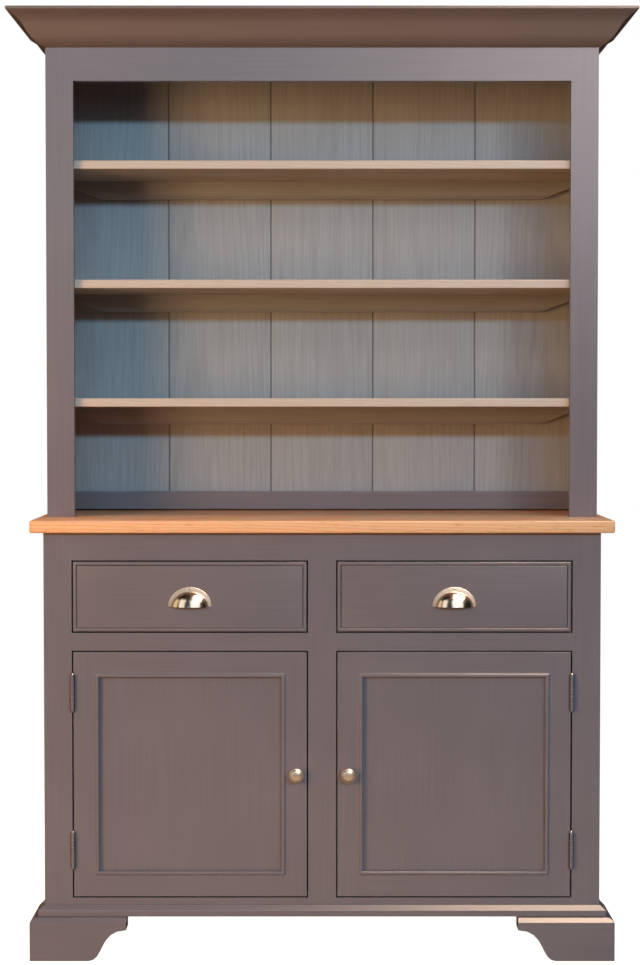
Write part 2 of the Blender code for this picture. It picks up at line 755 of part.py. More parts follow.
# Doors: a beaded frame, a panel in its groove, a knob, and two hinges
for side, sign in SIDES:
    door = joint_empty(f"door_{side}_axis", (sign * HINGE_X, HINGE_Y, DOOR_Z0))
    hinge_edge = sign * (OPENING_OUTER - HINGE_GAP)
    free_edge = sign * (OPENING_INNER + DOOR_GAP)
    door_x = sorted((hinge_edge, free_edge))
    door_z = (DOOR_Z0 + DOOR_GAP, DOOR_Z1 - DOOR_GAP)
    frame = door_frame(f"door_{side}_frame", door_x, door_z, door)

    panel_edge = DOOR_FRAME_WIDTH + DOOR_BEAD_WIDTH - PANEL_GROOVE
    panel_x = (door_x[0] + panel_edge, door_x[1] - panel_edge)
    panel_z = (door_z[0] + panel_edge, door_z[1] - panel_edge)
    panel_y = (FACE_Y + PANEL_RECESS, FACE_Y + PANEL_RECESS + PANEL_THICKNESS)
    board(f"door_{side}_panel", panel_x, panel_y, panel_z, TAUPE_PAINT, door)
    groove = [(low - GAP, high + GAP) for low, high in (panel_x, panel_y, panel_z)]
    size, middle = span(*groove)
    cutter_name = f"door_{side}_groove"
    cutter = add_cutter(cutter_name, to_mesh(box_bmesh(size), cutter_name), middle, parent=door)
    combine(frame, cutter, "DIFFERENCE")

    knob_place = (free_edge + sign * KNOB_INSET, FACE_Y - GAP, (DOOR_Z0 + DOOR_Z1) / 2)
    knob_name = f"door_{side}_knob"
    knob = add_part(knob_name, turned_mesh(knob_name, knob_profile()), NICKEL, knob_place, ALONG_Y, door)
    spin(knob, TURNED_STEPS)

    butt_hinge(f"hinge_{side}_upper", sign, DOOR_Z1 - HINGE_FROM_TOP, door)
    butt_hinge(f"hinge_{side}_lower", sign, DOOR_Z0 + HINGE_FROM_BOTTOM, door)


def drawer_front(name, x, z, drawer):
    """A drawer front with a bead and a quirk worked round its edge."""
    edge_y = FACE_Y + DRAWER_BEAD_HEIGHT
    size, middle = span(x, (edge_y, FRAME_BACK), z)
    bm = box_bmesh(size)
    bead = half_round(DRAWER_BEAD_WIDTH, DRAWER_BEAD_HEIGHT)
    run_rings(bm, face_towards(bm, (0, -1, 0)), bead + [(DRAWER_QUIRK, DRAWER_BEAD_HEIGHT)])
    return add_part(name, to_mesh(bm, name), TAUPE_PAINT, middle, parent=drawer)


def half_ellipse(across, up, turn):
    """Points of a half ellipse standing on its flat side, in the order of turn."""
    angles = angle_steps(0, math.pi, DOME_SEGMENTS // 2)
    return [(across * math.cos(angle), up * math.sin(angle)) for angle in angles][::turn]


def cup_pull(name, x, z0, drawer):
    """A cast cup pull: a quarter of an ellipsoid, open below and behind, with a
    flange along its arch."""
    across = PULL_WIDTH / 2 - PULL_SIDE_FLANGE
    up = PULL_HEIGHT - PULL_TOP_FLANGE
    seat_y = FACE_Y - GAP
    rim_y = seat_y - PULL_FLANGE_THICKNESS / 2

    inner = half_ellipse(across - PULL_WALL / 2, up - PULL_WALL / 2, -1)
    arch = half_ellipse(PULL_WIDTH / 2, PULL_HEIGHT, 1) + inner
    outline = [(x + u, z0 + v) for u, v in arch]
    limits = reach(seat_y - PULL_FLANGE_THICKNESS, seat_y)
    pull = prism(name, outline, limits, ALONG_Y, NICKEL, drawer)

    bm = bmesh.new()
    bmesh.ops.create_uvsphere(bm, u_segments=DOME_SEGMENTS, v_segments=DOME_SEGMENTS // 2, radius=1.0)
    bmesh.ops.rotate(bm, matrix=ALONG_Y.to_matrix(), verts=bm.verts)
    depth = rim_y - (FACE_Y - PULL_PROJECTION)
    bmesh.ops.scale(bm, vec=Vector((across, depth, up)), verts=bm.verts)
    beyond = [vertex for vertex in bm.verts if vertex.co.z < -WELD or vertex.co.y > WELD]
    bmesh.ops.delete(bm, geom=beyond, context="VERTS")
    mesh = bpy.data.meshes.new(f"{name}_dome")
    bm.to_mesh(mesh)
    bm.free()
    dome = add_cutter(f"{name}_dome", mesh, (x, rim_y, z0), parent=drawer)
    wall = dome.modifiers.new("wall", "SOLIDIFY")
    wall.thickness = PULL_WALL
    wall.offset = -1
    combine(pull, dome, "UNION")


# Drawers: a beaded front, grooved sides, a back standing on the bottom board
for side, sign in SIDES:
    drawer = joint_empty(f"drawer_{side}_axis", (sign * (DRAWER_OUTER + DRAWER_INNER) / 2, FACE_Y, DRAWER_Z0))
    low_x, high_x = sorted((sign * DRAWER_OUTER, sign * DRAWER_INNER))
    front_z = (DRAWER_Z0 + DRAWER_GAP, DRAWER_Z1 - DRAWER_GAP)
    drawer_front(f"drawer_{side}_front", (low_x, high_x), front_z, drawer)

    side_z0 = DRAWER_Z0 + GAP
    side_z1 = side_z0 + DRAWER_SIDE_HEIGHT
    bottom_z = (side_z0 + DRAWER_BOTTOM_RISE, side_z0 + DRAWER_BOTTOM_RISE + DRAWER_BOTTOM_THICKNESS)
    box_y = (INSIDE_Y, BASE_BACK_Y - DRAWER_BACK_CLEARANCE)
    for hand, outer_x, step in (("left", low_x, 1), ("right", high_x, -1)):
        inner_x = outer_x + step * DRAWER_SIDE_THICKNESS
        groove_x = inner_x - step * DRAWER_GROOVE
        prism(
            f"drawer_{side}_{hand}_side",
            [
                (outer_x, side_z0),
                (inner_x, side_z0),
                (inner_x, bottom_z[0] - GAP),
                (groove_x, bottom_z[0] - GAP),
                (groove_x, bottom_z[1] + GAP),
                (inner_x, bottom_z[1] + GAP),
                (inner_x, side_z1),
                (outer_x, side_z1),
            ],
            reach(*box_y),
            ALONG_Y,
            PINE,
            drawer,
        )

    inside_x = (low_x + DRAWER_SIDE_THICKNESS + GAP, high_x - DRAWER_SIDE_THICKNESS - GAP)
    back_y = (box_y[1] - DRAWER_SIDE_THICKNESS, box_y[1])
    back_z = (bottom_z[1] + GAP, side_z1 - DRAWER_BACK_DROP)
    board(f"drawer_{side}_back", inside_x, back_y, back_z, PINE, drawer)
    tongue = DRAWER_GROOVE - GAP
    bottom_x = (inside_x[0] - GAP - tongue, inside_x[1] + GAP + tongue)
    board(f"drawer_{side}_bottom", bottom_x, box_y, bottom_z, PINE, drawer)
    pull_z = (DRAWER_Z0 + DRAWER_Z1 - PULL_HEIGHT) / 2
    cup_pull(f"drawer_{side}_pull", (low_x + high_x) / 2, pull_z, drawer)


# Rack sides, rebated behind for the back boards
for side, sign in SIDES:
    prism(
        f"rack_{side}_side",
        [
            (sign * RACK_HALF, RACK_INSIDE_Y),
            (sign * RACK_HALF, BACK_Y),
            (sign * (RACK_INSIDE + BOARD_REBATE), BACK_Y),
            (sign * (RACK_INSIDE + BOARD_REBATE), BOARD_Y - GAP),
            (sign * RACK_INSIDE, BOARD_Y - GAP),
            (sign * RACK_INSIDE, RACK_INSIDE_Y),
        ],
        (RACK_Z0, RACK_Z1),
        UPRIGHT,
        TAUPE_PAINT,
    )
    board(
        f"rack_{side}_stile",
        sorted((sign * RACK_OPENING, sign * RACK_HALF)),
        (RACK_FACE_Y, RACK_FACE_Y + RACK_FRAME_THICKNESS),
        (RACK_Z0, RACK_Z1),
        TAUPE_PAINT,
    )

board(
    "rack_top_rail",
    (GAP - RACK_OPENING, RACK_OPENING - GAP),
    (RACK_FACE_Y, RACK_FACE_Y + RACK_FRAME_THICKNESS),
    (RACK_OPENING_TOP, RACK_Z1),
    TAUPE_PAINT,
)

RACK_X = (GAP - RACK_INSIDE, RACK_INSIDE - GAP)
RACK_Y = (RACK_INSIDE_Y, BOARD_Y - GAP)
board("rack_top", RACK_X, RACK_Y, (RACK_Z1 - RACK_TOP_THICKNESS, RACK_Z1), STONE_PAINT)
board(
    "rack_bottom_rail",
    RACK_X,
    (RACK_Y[1] - BACK_RAIL_THICKNESS, RACK_Y[1]),
    (RACK_Z0, RACK_Z0 + BACK_RAIL_HEIGHT),
    TAUPE_PAINT,
)


def back_boards():
    """Upright boards side by side, with a V at each joint in front and behind."""
    half = RACK_INSIDE + BOARD_REBATE - GAP
    joints = [half * (2 * index / BOARD_COUNT - 1) for index in range(1, BOARD_COUNT)]
    outline = []
    for y, inward, order in ((BOARD_Y, BOARD_JOINT_DEPTH, 1), (BACK_Y, -BOARD_JOINT_DEPTH, -1)):
        outline.append((-half * order, y))
        for x in joints[::order]:
            outline.append((x - order * BOARD_JOINT_WIDTH / 2, y))
            outline.append((x, y + inward))
            outline.append((x + order * BOARD_JOINT_WIDTH / 2, y))
        outline.append((half * order, y))
    prism("rack_back", outline, (RACK_Z0, RACK_Z1), UPRIGHT, STONE_PAINT)


back_boards()


def rack_shelf(name, top):
    """A shelf with eased front edges, glued to a batten under its back. The batten
    is chamfered in front and swept up at both ends."""
    front, back = RACK_Y
    bottom = top - SHELF_THICKNESS
    batten_foot = bottom - BATTEN_HEIGHT
    batten_front = back - BATTEN_THICKNESS
    section = [
        (front + SHELF_EDGE, top),
        (front, top - SHELF_EDGE),
        (front, bottom + SHELF_EDGE),
        (front + SHELF_EDGE, bottom),
        (batten_front, bottom),
        (batten_front, batten_foot + BATTEN_CHAMFER),
        (batten_front + BATTEN_CHAMFER, batten_foot),
        (back, batten_foot),
        (back, top),
    ]
    shelf = prism(name, section, RACK_X, ALONG_X, PALE_OAK)
    for side, sign in SIDES:
        end = sign * RACK_X[1]
        past = end + sign * CUT_OVER
        slope = BATTEN_END_RISE / BATTEN_END_LENGTH
        sweep = [
            (end - sign * (BATTEN_END_LENGTH + CUT_OVER), batten_foot - slope * CUT_OVER),
            (past, batten_foot + BATTEN_END_RISE + slope * CUT_OVER),
            (past, batten_foot - slope * CUT_OVER),
        ]
        depth = reach(batten_front - CUT_OVER, back + CUT_OVER)
        combine(shelf, prism_cutter(f"{name}_{side}_sweep", sweep, depth, ALONG_Y), "DIFFERENCE")


for index, level in enumerate(SHELF_NAMES, start=1):
    rack_shelf(f"rack_shelf_{level}", WORKTOP_TOP + index * SHELF_PITCH)


def cornice_profile():
    """A cyma: round below, hollow above, under a square lip. Projection by height."""
    lip = CORNICE_HEIGHT - CORNICE_LIP
    sweep = bezier(
        [
            (CORNICE_FOOT, 0),
            (CORNICE_FOOT + CORNICE_OVOLO_OUT, CORNICE_OVOLO_UP),
            (CORNICE_PROJECTION - CORNICE_COVE_OUT, lip - CORNICE_COVE_UP),
            (CORNICE_PROJECTION, lip),
        ],
        CURVE_POINTS,
    )
    return [(GAP, 0)] + sweep + [(CORNICE_PROJECTION, CORNICE_HEIGHT), (GAP, CORNICE_HEIGHT)]


def cornice(name, outline, limits, turn, mitre):
    """One length of cornice. Each mitred end runs on by the moulding's own
    projection there, less the gap in the joint."""
    bm = outline_bmesh(outline, limits[1] - limits[0])
    for vertex in bm.verts:
        vertex.co.z += mitre(vertex.co)
    add_part(name, to_mesh(bm, name), UMBER_PAINT, middle_of(limits, turn), turn)


def cornices():
    """The front length, mitred at both ends, and a return along each side."""
    profile = [(out, CORNICE_Z0 + up) for out, up in cornice_profile()]
    across = [(RACK_FACE_Y - out, z) for out, z in profile]
    cornice(
        "cornice_front",
        across,
        (-RACK_HALF, RACK_HALF),
        ALONG_X,
        lambda point: math.copysign(RACK_FACE_Y - point.x - GAP, point.z),
    )
    for side, sign in SIDES:
        returned = [(sign * (RACK_HALF + out), z) for out, z in profile]
        cornice(
            f"cornice_{side}",
            returned,
            reach(RACK_FACE_Y, BACK_Y),
            ALONG_Y,
            lambda point: abs(point.x) - RACK_HALF - GAP if point.z > 0 else 0,
        )


cornices()
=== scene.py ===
"""Looks of a painted dresser: the finishes, eased edges and hardware that dress its solids."""

import json
import math

import bmesh
import bpy
from mathutils import Matrix, Vector

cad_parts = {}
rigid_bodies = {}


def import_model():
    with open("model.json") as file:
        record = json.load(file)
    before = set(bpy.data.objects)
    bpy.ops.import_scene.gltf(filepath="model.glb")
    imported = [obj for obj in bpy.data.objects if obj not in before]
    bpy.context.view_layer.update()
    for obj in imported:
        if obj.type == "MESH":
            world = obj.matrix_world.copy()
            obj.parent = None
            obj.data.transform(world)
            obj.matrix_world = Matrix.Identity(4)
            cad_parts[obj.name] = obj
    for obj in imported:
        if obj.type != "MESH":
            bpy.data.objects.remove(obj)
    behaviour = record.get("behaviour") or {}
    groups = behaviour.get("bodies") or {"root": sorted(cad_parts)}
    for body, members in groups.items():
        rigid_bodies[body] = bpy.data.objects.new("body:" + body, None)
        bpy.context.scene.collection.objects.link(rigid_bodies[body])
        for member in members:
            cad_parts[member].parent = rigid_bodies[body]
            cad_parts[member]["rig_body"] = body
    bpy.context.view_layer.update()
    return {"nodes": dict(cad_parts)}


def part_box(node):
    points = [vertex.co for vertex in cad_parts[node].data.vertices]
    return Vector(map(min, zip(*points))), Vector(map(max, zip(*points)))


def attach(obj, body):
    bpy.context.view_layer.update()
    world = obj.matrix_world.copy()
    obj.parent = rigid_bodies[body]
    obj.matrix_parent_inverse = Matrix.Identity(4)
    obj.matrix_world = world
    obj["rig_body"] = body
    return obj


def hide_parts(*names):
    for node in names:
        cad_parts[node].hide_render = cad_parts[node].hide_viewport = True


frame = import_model()
solids = frame["nodes"]

# Carcass sides: wide boards planed from poplar and glued behind the face frame.
# The outside is brushed with taupe eggshell, and the inside is lacquered pine
# veneer like the rest of the cupboard.
MM = 0.001


def linear(colour):
    """A hex colour as a screen shows it, turned to the linear values of a shader."""
    channels = [int(colour[start:start + 2], 16) / 255 for start in (0, 2, 4)]
    return [c / 12.92 if c <= 0.04045 else ((c + 0.055) / 1.055) ** 2.4 for c in channels] + [1]


def add_node(owner, kind, inputs, **settings):
    """Add one shader node, with a value or a link for each input, and give its outputs."""
    node = owner.node_tree.nodes.new(kind)
    for name, value in settings.items():
        setattr(node, name, value)
    for socket, value in inputs.items():
        if isinstance(value, bpy.types.NodeSocket):
            owner.node_tree.links.new(value, node.inputs[socket])
        else:
            node.inputs[socket].default_value = value
    return node.outputs


def new_material(name):
    """An empty material, and the place of each point on the piece that wears it."""
    material = bpy.data.materials.new(name)
    material.use_nodes = True
    material.node_tree.nodes.clear()
    return material, add_node(material, "ShaderNodeTexCoord", {})["Object"]


# Taupe eggshell: water-based paint laid on with a brush, in two coats over primer.
# The bristles leave faint ridges along the grain, which break up a low sheen, and the
# coats dry a little uneven in tone. Bristle marks are drawn wider than life to show.
TAUPE_DEEP = "715f61"
TAUPE_PALE = "806c6e"
BRISTLE_MARK = 3 * MM
BRUSH_STROKE = 260 * MM
BRISTLE_SHARE = 0.6
COAT_PATCH = 190 * MM
PAINT_RIDGE = 0.005 * MM


def brushed_eggshell(name, grain, stiles=None, deep=TAUPE_DEEP, pale=TAUPE_PALE):
    """Paint brushed along one axis. On a frame glued up as one piece, stiles gives the
    middle and the half width of its rails, and beyond them the brush runs upright."""
    paint, place = new_material(name)
    stroke = [1 / BRISTLE_MARK] * 3
    stroke["XYZ".index(grain)] = 1 / BRUSH_STROKE
    bristles = add_node(paint, "ShaderNodeMapping", {"Vector": place, "Scale": stroke})[0]
    if stiles:
        middle, rail_half = stiles
        upright = [1 / BRISTLE_MARK, 1 / BRISTLE_MARK, 1 / BRUSH_STROKE]
        beside = add_node(paint, "ShaderNodeMapping", {"Vector": place, "Scale": upright})[0]
        across = add_node(paint, "ShaderNodeSeparateXYZ", {"Vector": place})["X"]
        from_middle = {0: across, 1: middle}
        offset = add_node(paint, "ShaderNodeMath", from_middle, operation="SUBTRACT")[0]
        reach = add_node(paint, "ShaderNodeMath", {0: offset}, operation="ABSOLUTE")[0]
        past_rail = {0: reach, 1: rail_half}
        on_stile = add_node(paint, "ShaderNodeMath", past_rail, operation="GREATER_THAN")[0]
        choice = {0: on_stile, 4: bristles, 5: beside}
        bristles = add_node(paint, "ShaderNodeMix", choice, data_type="VECTOR")[1]
    marks = {"Vector": bristles, "Scale": 1.0, "Detail": 3.0}
    ridges = add_node(paint, "ShaderNodeTexNoise", marks)[0]
    drying = {"Vector": place, "Scale": 1 / COAT_PATCH}
    patches = add_node(paint, "ShaderNodeTexNoise", drying)[0]
    tone = add_node(paint, "ShaderNodeMix", {0: BRISTLE_SHARE, 2: patches, 3: ridges})[0]
    tones = {"Value": tone, "From Min": 0.25, "From Max": 0.75}
    depth = add_node(paint, "ShaderNodeMapRange", tones)[0]
    shades = {0: depth, 6: linear(deep), 7: linear(pale)}
    colour = add_node(paint, "ShaderNodeMix", shades, data_type="RGBA")[2]
    sheen = {"Value": ridges, "From Min": 0.3, "From Max": 0.7, "To Min": 0.29, "To Max": 0.32}
    roughness = add_node(paint, "ShaderNodeMapRange", sheen)[0]
    ridge = {"Height": ridges, "Strength": 0.5, "Distance": PAINT_RIDGE}
    relief = add_node(paint, "ShaderNodeBump", ridge)["Normal"]
    surface = {"Base Color": colour, "Roughness": roughness, "IOR": 1.5, "Normal": relief}
    shader = add_node(paint, "ShaderNodeBsdfPrincipled", surface)[0]
    add_node(paint, "ShaderNodeOutputMaterial", {"Surface": shader})
    return paint


taupe_upright = brushed_eggshell("taupe_eggshell_upright", "Z")
taupe_level = brushed_eggshell("taupe_eggshell_level", "X")

# Rubbed eggshell: on the arrises the paint lies thin and is polished by hands and dusters,
# so that the edge is shinier, and a shade paler in uneven lengths, partly as wear and partly as a
# painted highlight.
RUBBED_HIGHLIGHT_PALE = "918182"
RUB_AND_HIGHLIGHT_LENGTH = 60 * MM
taupe_rubbed_highlight, place = new_material("taupe_eggshell_rubbed_highlight")
rub_and_highlight_scale = {"Vector": place, "Scale": 1 / RUB_AND_HIGHLIGHT_LENGTH}
rubbing_and_highlight = add_node(taupe_rubbed_highlight, "ShaderNodeTexNoise", rub_and_highlight_scale)[0]
# Paler along the arris: partly rubbed paint, partly a painted highlight.
shades = {0: rubbing_and_highlight, 6: linear(TAUPE_PALE), 7: linear(RUBBED_HIGHLIGHT_PALE)}
colour = add_node(taupe_rubbed_highlight, "ShaderNodeMix", shades, data_type="RGBA")[2]
sheen = {"Value": rubbing_and_highlight, "From Min": 0.3, "From Max": 0.7, "To Min": 0.32, "To Max": 0.24}
roughness = add_node(taupe_rubbed_highlight, "ShaderNodeMapRange", sheen)[0]
surface = {"Base Color": colour, "Roughness": roughness, "IOR": 1.5}
shader = add_node(taupe_rubbed_highlight, "ShaderNodeBsdfPrincipled", surface)[0]
add_node(taupe_rubbed_highlight, "ShaderNodeOutputMaterial", {"Surface": shader})

# Lacquered pine: clear satin lacquer over planed pine. The latewood shows as honey lines,
# and fine streaks of resin run along the grain. Fibres are drawn wider than life to show.
PINE_PALE = "d3b48a"
PINE_LINE = "b98f60"
PINE_BOARD = 140 * MM
PINE_RING = 9 * MM
PINE_RUN_OUT = 0.06
PINE_RELIEF = 0.1 * MM
FIBRE_WIDTH = 1.6 * MM
FIBRE_LENGTH = 90 * MM
FIBRE_SHARE = 0.4
HEART_ACROSS = 0.6
HEART_BELOW = 60 * MM
HEART_RANGE = 25 * MM
SWAY = 1.6
SWAY_WIDTH = 45 * MM
SWAY_LENGTH = 300 * MM


def growth_rings(wood, place, along, across, through, board, pitch, run_out):
    """Latewood lines of boards side by side, from 0 between the lines to 1 on them. Each board
    is sawn flat from a tapering log, so that the rings run out in arches along it."""
    axes = add_node(wood, "ShaderNodeSeparateXYZ", {"Vector": place})
    in_row = {0: axes[across], 1: 1 / board, 2: 0.5}
    at = add_node(wood, "ShaderNodeMath", in_row, operation="MULTIPLY_ADD")[0]
    number = add_node(wood, "ShaderNodeMath", {0: at}, operation="FLOOR")[0]
    log = add_node(wood, "ShaderNodeTexWhiteNoise", {"W": number}, noise_dimensions="1D")
    chance = log["Color"]
    slant = add_node(wood, "ShaderNodeSeparateColor", {"Color": chance})["Blue"]
    in_board = add_node(wood, "ShaderNodeMath", {0: at}, operation="FRACT")[0]
    flat = {0: in_board, 1: board, 2: -board / 2}
    from_middle = add_node(wood, "ShaderNodeMath", flat, operation="MULTIPLY_ADD")[0]
    section = add_node(wood, "ShaderNodeCombineXYZ", {"X": from_middle, "Y": axes[through]})[0]
    spread = {
        0: chance,
        1: (HEART_ACROSS * board, HEART_RANGE, 0),
        2: (-HEART_ACROSS / 2 * board, -HEART_BELOW, 0),
    }
    heart = add_node(wood, "ShaderNodeVectorMath", spread, operation="MULTIPLY_ADD")[0]
    from_heart = {0: section, 1: heart}
    out = add_node(wood, "ShaderNodeVectorMath", from_heart, operation="SUBTRACT")[0]
    square = {0: out, 1: (1, 1, 0)}
    flat_out = add_node(wood, "ShaderNodeVectorMath", square, operation="MULTIPLY")[0]
    radius = add_node(wood, "ShaderNodeVectorMath", {0: flat_out}, operation="LENGTH")["Value"]
    lean = {0: slant, 1: 2 * run_out, 2: -run_out}
    taper = add_node(wood, "ShaderNodeMath", lean, operation="MULTIPLY_ADD")[0]
    rise = {0: axes[along], 1: taper, 2: radius}
    ring = add_node(wood, "ShaderNodeMath", rise, operation="MULTIPLY_ADD")[0]
    wander = [1 / SWAY_WIDTH] * 3
    wander["XYZ".index(along)] = 1 / SWAY_LENGTH
    wander_at = add_node(wood, "ShaderNodeMapping", {"Vector": place, "Scale": wander})[0]
    bends = {"Vector": wander_at, "Scale": 1.0, "Detail": 1.0}
    sway = add_node(wood, "ShaderNodeTexNoise", bends)[0]
    swayed = {0: sway, 1: SWAY * pitch, 2: ring}
    bent = add_node(wood, "ShaderNodeMath", swayed, operation="MULTIPLY_ADD")[0]
    around = {0: bent, 1: 2 * math.pi / pitch}
    turn = add_node(wood, "ShaderNodeMath", around, operation="MULTIPLY")[0]
    wave = add_node(wood, "ShaderNodeMath", {0: turn}, operation="SINE")[0]
    line = {"Value": wave, "From Min": -0.2, "From Max": 1.0}
    return add_node(wood, "ShaderNodeMapRange", line, interpolation_type="SMOOTHSTEP")[0]


def lacquered_pine(name, along, across, through):
    """Pine boards of one width whose grain runs along one axis."""
    wood, place = new_material(name)
    boards = (along, across, through, PINE_BOARD)
    lines = growth_rings(wood, place, *boards, PINE_RING, PINE_RUN_OUT)
    fibre = [1 / FIBRE_WIDTH] * 3
    fibre["XYZ".index(along)] = 1 / FIBRE_LENGTH
    fibres_at = add_node(wood, "ShaderNodeMapping", {"Vector": place, "Scale": fibre})[0]
    streaks = {"Vector": fibres_at, "Scale": 1.0, "Detail": 2.0}
    fibres = add_node(wood, "ShaderNodeTexNoise", streaks)[0]
    figure = add_node(wood, "ShaderNodeMix", {0: FIBRE_SHARE, 2: lines, 3: fibres})[0]
    tones = {"Value": figure, "From Min": 0.15, "From Max": 1.1}
    amount = add_node(wood, "ShaderNodeMapRange", tones)[0]
    shades = {0: amount, 6: linear(PINE_PALE), 7: linear(PINE_LINE)}
    colour = add_node(wood, "ShaderNodeMix", shades, data_type="RGBA")[2]
    sheen = {"Value": fibres, "From Min": 0.3, "From Max": 0.7, "To Min": 0.38, "To Max": 0.55}
    roughness = add_node(wood, "ShaderNodeMapRange", sheen)[0]
    grain = {"Height": figure, "Strength": 0.3, "Distance": PINE_RELIEF}
    relief = add_node(wood, "ShaderNodeBump", grain)["Normal"]
    surface = {"Base Color": colour, "Roughness": roughness, "IOR": 1.5, "Normal": relief}
    shader = add_node(wood, "ShaderNodeBsdfPrincipled", surface)[0]
    add_node(wood, "ShaderNodeOutputMaterial", {"Surface": shader})
    return wood


pine_upright = lacquered_pine("lacquered_pine_upright", "Z", "Y", "X")
pine_level = lacquered_pine("lacquered_pine_level", "X", "Y", "Z")
pine_inward = lacquered_pine("lacquered_pine_inward", "Y", "Z", "X")
pine_backing = lacquered_pine("lacquered_pine_backing", "Z", "X", "Y")

# Eased arrises: sandpaper takes the sharp edge off every board before it is painted. A face
# counts as square on to an axis when nearly all of its normal lies along it.
WELD = 0.001 * MM
SIDES = {"left": -1, "right": 1}
ARRIS_ROUND = 1.2 * MM
ARRIS_ANGLE = math.radians(40)
FLAT_ANGLE = math.radians(0.5)
SQUARE_ON = 0.9


def eased(name, finishes, ease=ARRIS_ROUND, other=None):
    """A piece in the form of its solid, with the arrises rounded as sanding leaves them.
    The finishes are those of its faces, its arrises and, if it has any, its other faces."""
    solid = solids[name]
    form = bmesh.new()
    form.from_mesh(solid.data)
    bmesh.ops.remove_doubles(form, verts=form.verts, dist=WELD)
    bmesh.ops.dissolve_limit(form, angle_limit=FLAT_ANGLE, verts=form.verts, edges=form.edges)
    for face in form.faces:
        face.smooth = True
        face.material_index = 0
        if other and other(face.normal, face.calc_center_median()):
            face.material_index = 2
    mesh = bpy.data.meshes.new(f"{name}_eased")
    form.to_mesh(mesh)
    form.free()
    for finish in finishes:
        mesh.materials.append(finish)
    mesh.set_sharp_from_angle(angle=ARRIS_ANGLE)
    piece = bpy.data.objects.new(f"{name}_eased", mesh)
    bpy.context.scene.collection.objects.link(piece)
    arris = piece.modifiers.new("eased arrises", "BEVEL")
    arris.width = ease
    arris.segments = 2
    arris.limit_method = "ANGLE"
    arris.angle_limit = ARRIS_ANGLE
    arris.harden_normals = True
    arris.material = 1
    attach(piece, solid["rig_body"])
    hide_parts(name)
    return piece


for side, sign in SIDES.items():
    finishes = [taupe_upright, taupe_rubbed_highlight, pine_upright]
    eased(f"base_{side}_side", finishes, other=lambda facing, at: facing.x * sign < -SQUARE_ON)

# Cupboard inside: a pine back in the sides' rebates, a floor whose front edge stops the
# doors, one fixed shelf, and drawer runners with guide ribs. All are glued and pinned.
eased("base_back", [pine_backing, pine_backing])
for board in ("base_floor", "cupboard_shelf"):
    eased(board, [pine_level, pine_level])
for runner in ("left", "centre", "right"):
    eased(f"drawer_runner_{runner}", [pine_inward, pine_inward])

# Base face frame: stiles and rails of poplar, mortised together, flush at the front and
# brushed with the same taupe eggshell, each piece along its own grain. The paint fills the
# joints, so that they hardly show.
FLUSH_ROUND = 0.05 * MM
PAINT_FILL = 0.15 * MM


def face_frame(name, finish):
    """A stile or rail whose joints are filled with paint: its ends and sides reach half way
    across the gap to the next piece."""
    piece = eased(name, [finish, finish], ease=FLUSH_ROUND)
    reach = {vertex.index: set() for vertex in piece.data.vertices}
    for face in piece.data.polygons:
        for index in face.vertices:
            reach[index].add((round(face.normal.x), 0, round(face.normal.z)))
    for index, ways in reach.items():
        for way in ways:
            piece.data.vertices[index].co += PAINT_FILL * Vector(way)


for upright in ("left", "centre", "right"):
    face_frame(f"base_{upright}_stile", taupe_upright)
for rail in ("top", "middle", "bottom"):
    face_frame(f"base_{rail}_rail", taupe_level)

# Plinth moulding and ogee bracket feet: bandsawn from thick poplar, mitred round the
# carcass, bevelled along the top and painted with the rest. Sanding has widened the bevel
# of the feet.
FINE_ROUND = 0.8 * MM
FOOT_BEVEL = 5.5 * MM
BEVEL_SANDED = 3.8 * MM
NEAR = 1 * MM
eased("plinth_moulding", [taupe_level, taupe_rubbed_highlight])
for corner in ("front_left", "front_right", "back_left", "back_right"):
    foot = eased(f"foot_{corner}", [taupe_level, taupe_level], ease=FINE_ROUND)
    low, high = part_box(f"foot_{corner}")
    outside = high.x if high.x > 0 else low.x
    at_front = corner.startswith("front")
    for vertex in foot.data.vertices:
        depth = high.z - vertex.co.z
        if depth < NEAR and abs(outside - vertex.co.x) < FOOT_BEVEL + NEAR:
            vertex.co.x -= math.copysign(BEVEL_SANDED, outside)
        if depth < NEAR and at_front and vertex.co.y - low.y < FOOT_BEVEL + NEAR:
            vertex.co.y += BEVEL_SANDED
        if NEAR < depth < FOOT_BEVEL + NEAR:
            vertex.co.z -= BEVEL_SANDED

# Worktop: oak staves glued edge to edge, planed, rounded along the edges and oiled. The oil
# turns the oak a warm orange, and open pores show as short dark dashes along the grain,
# drawn coarser than life.
OAK_PALE = "fbb584"
OAK_LINE = "fb9966"
OAK_PORE = "c17043"
OAK_STAVE = 92 * MM
OAK_RING = 7 * MM
OAK_RUN_OUT = 0.03
PORE_WIDTH = 2.2 * MM
PORE_LENGTH = 34 * MM
PORE_SHARE = 0.45
PORE_DEPTH = 0.15 * MM


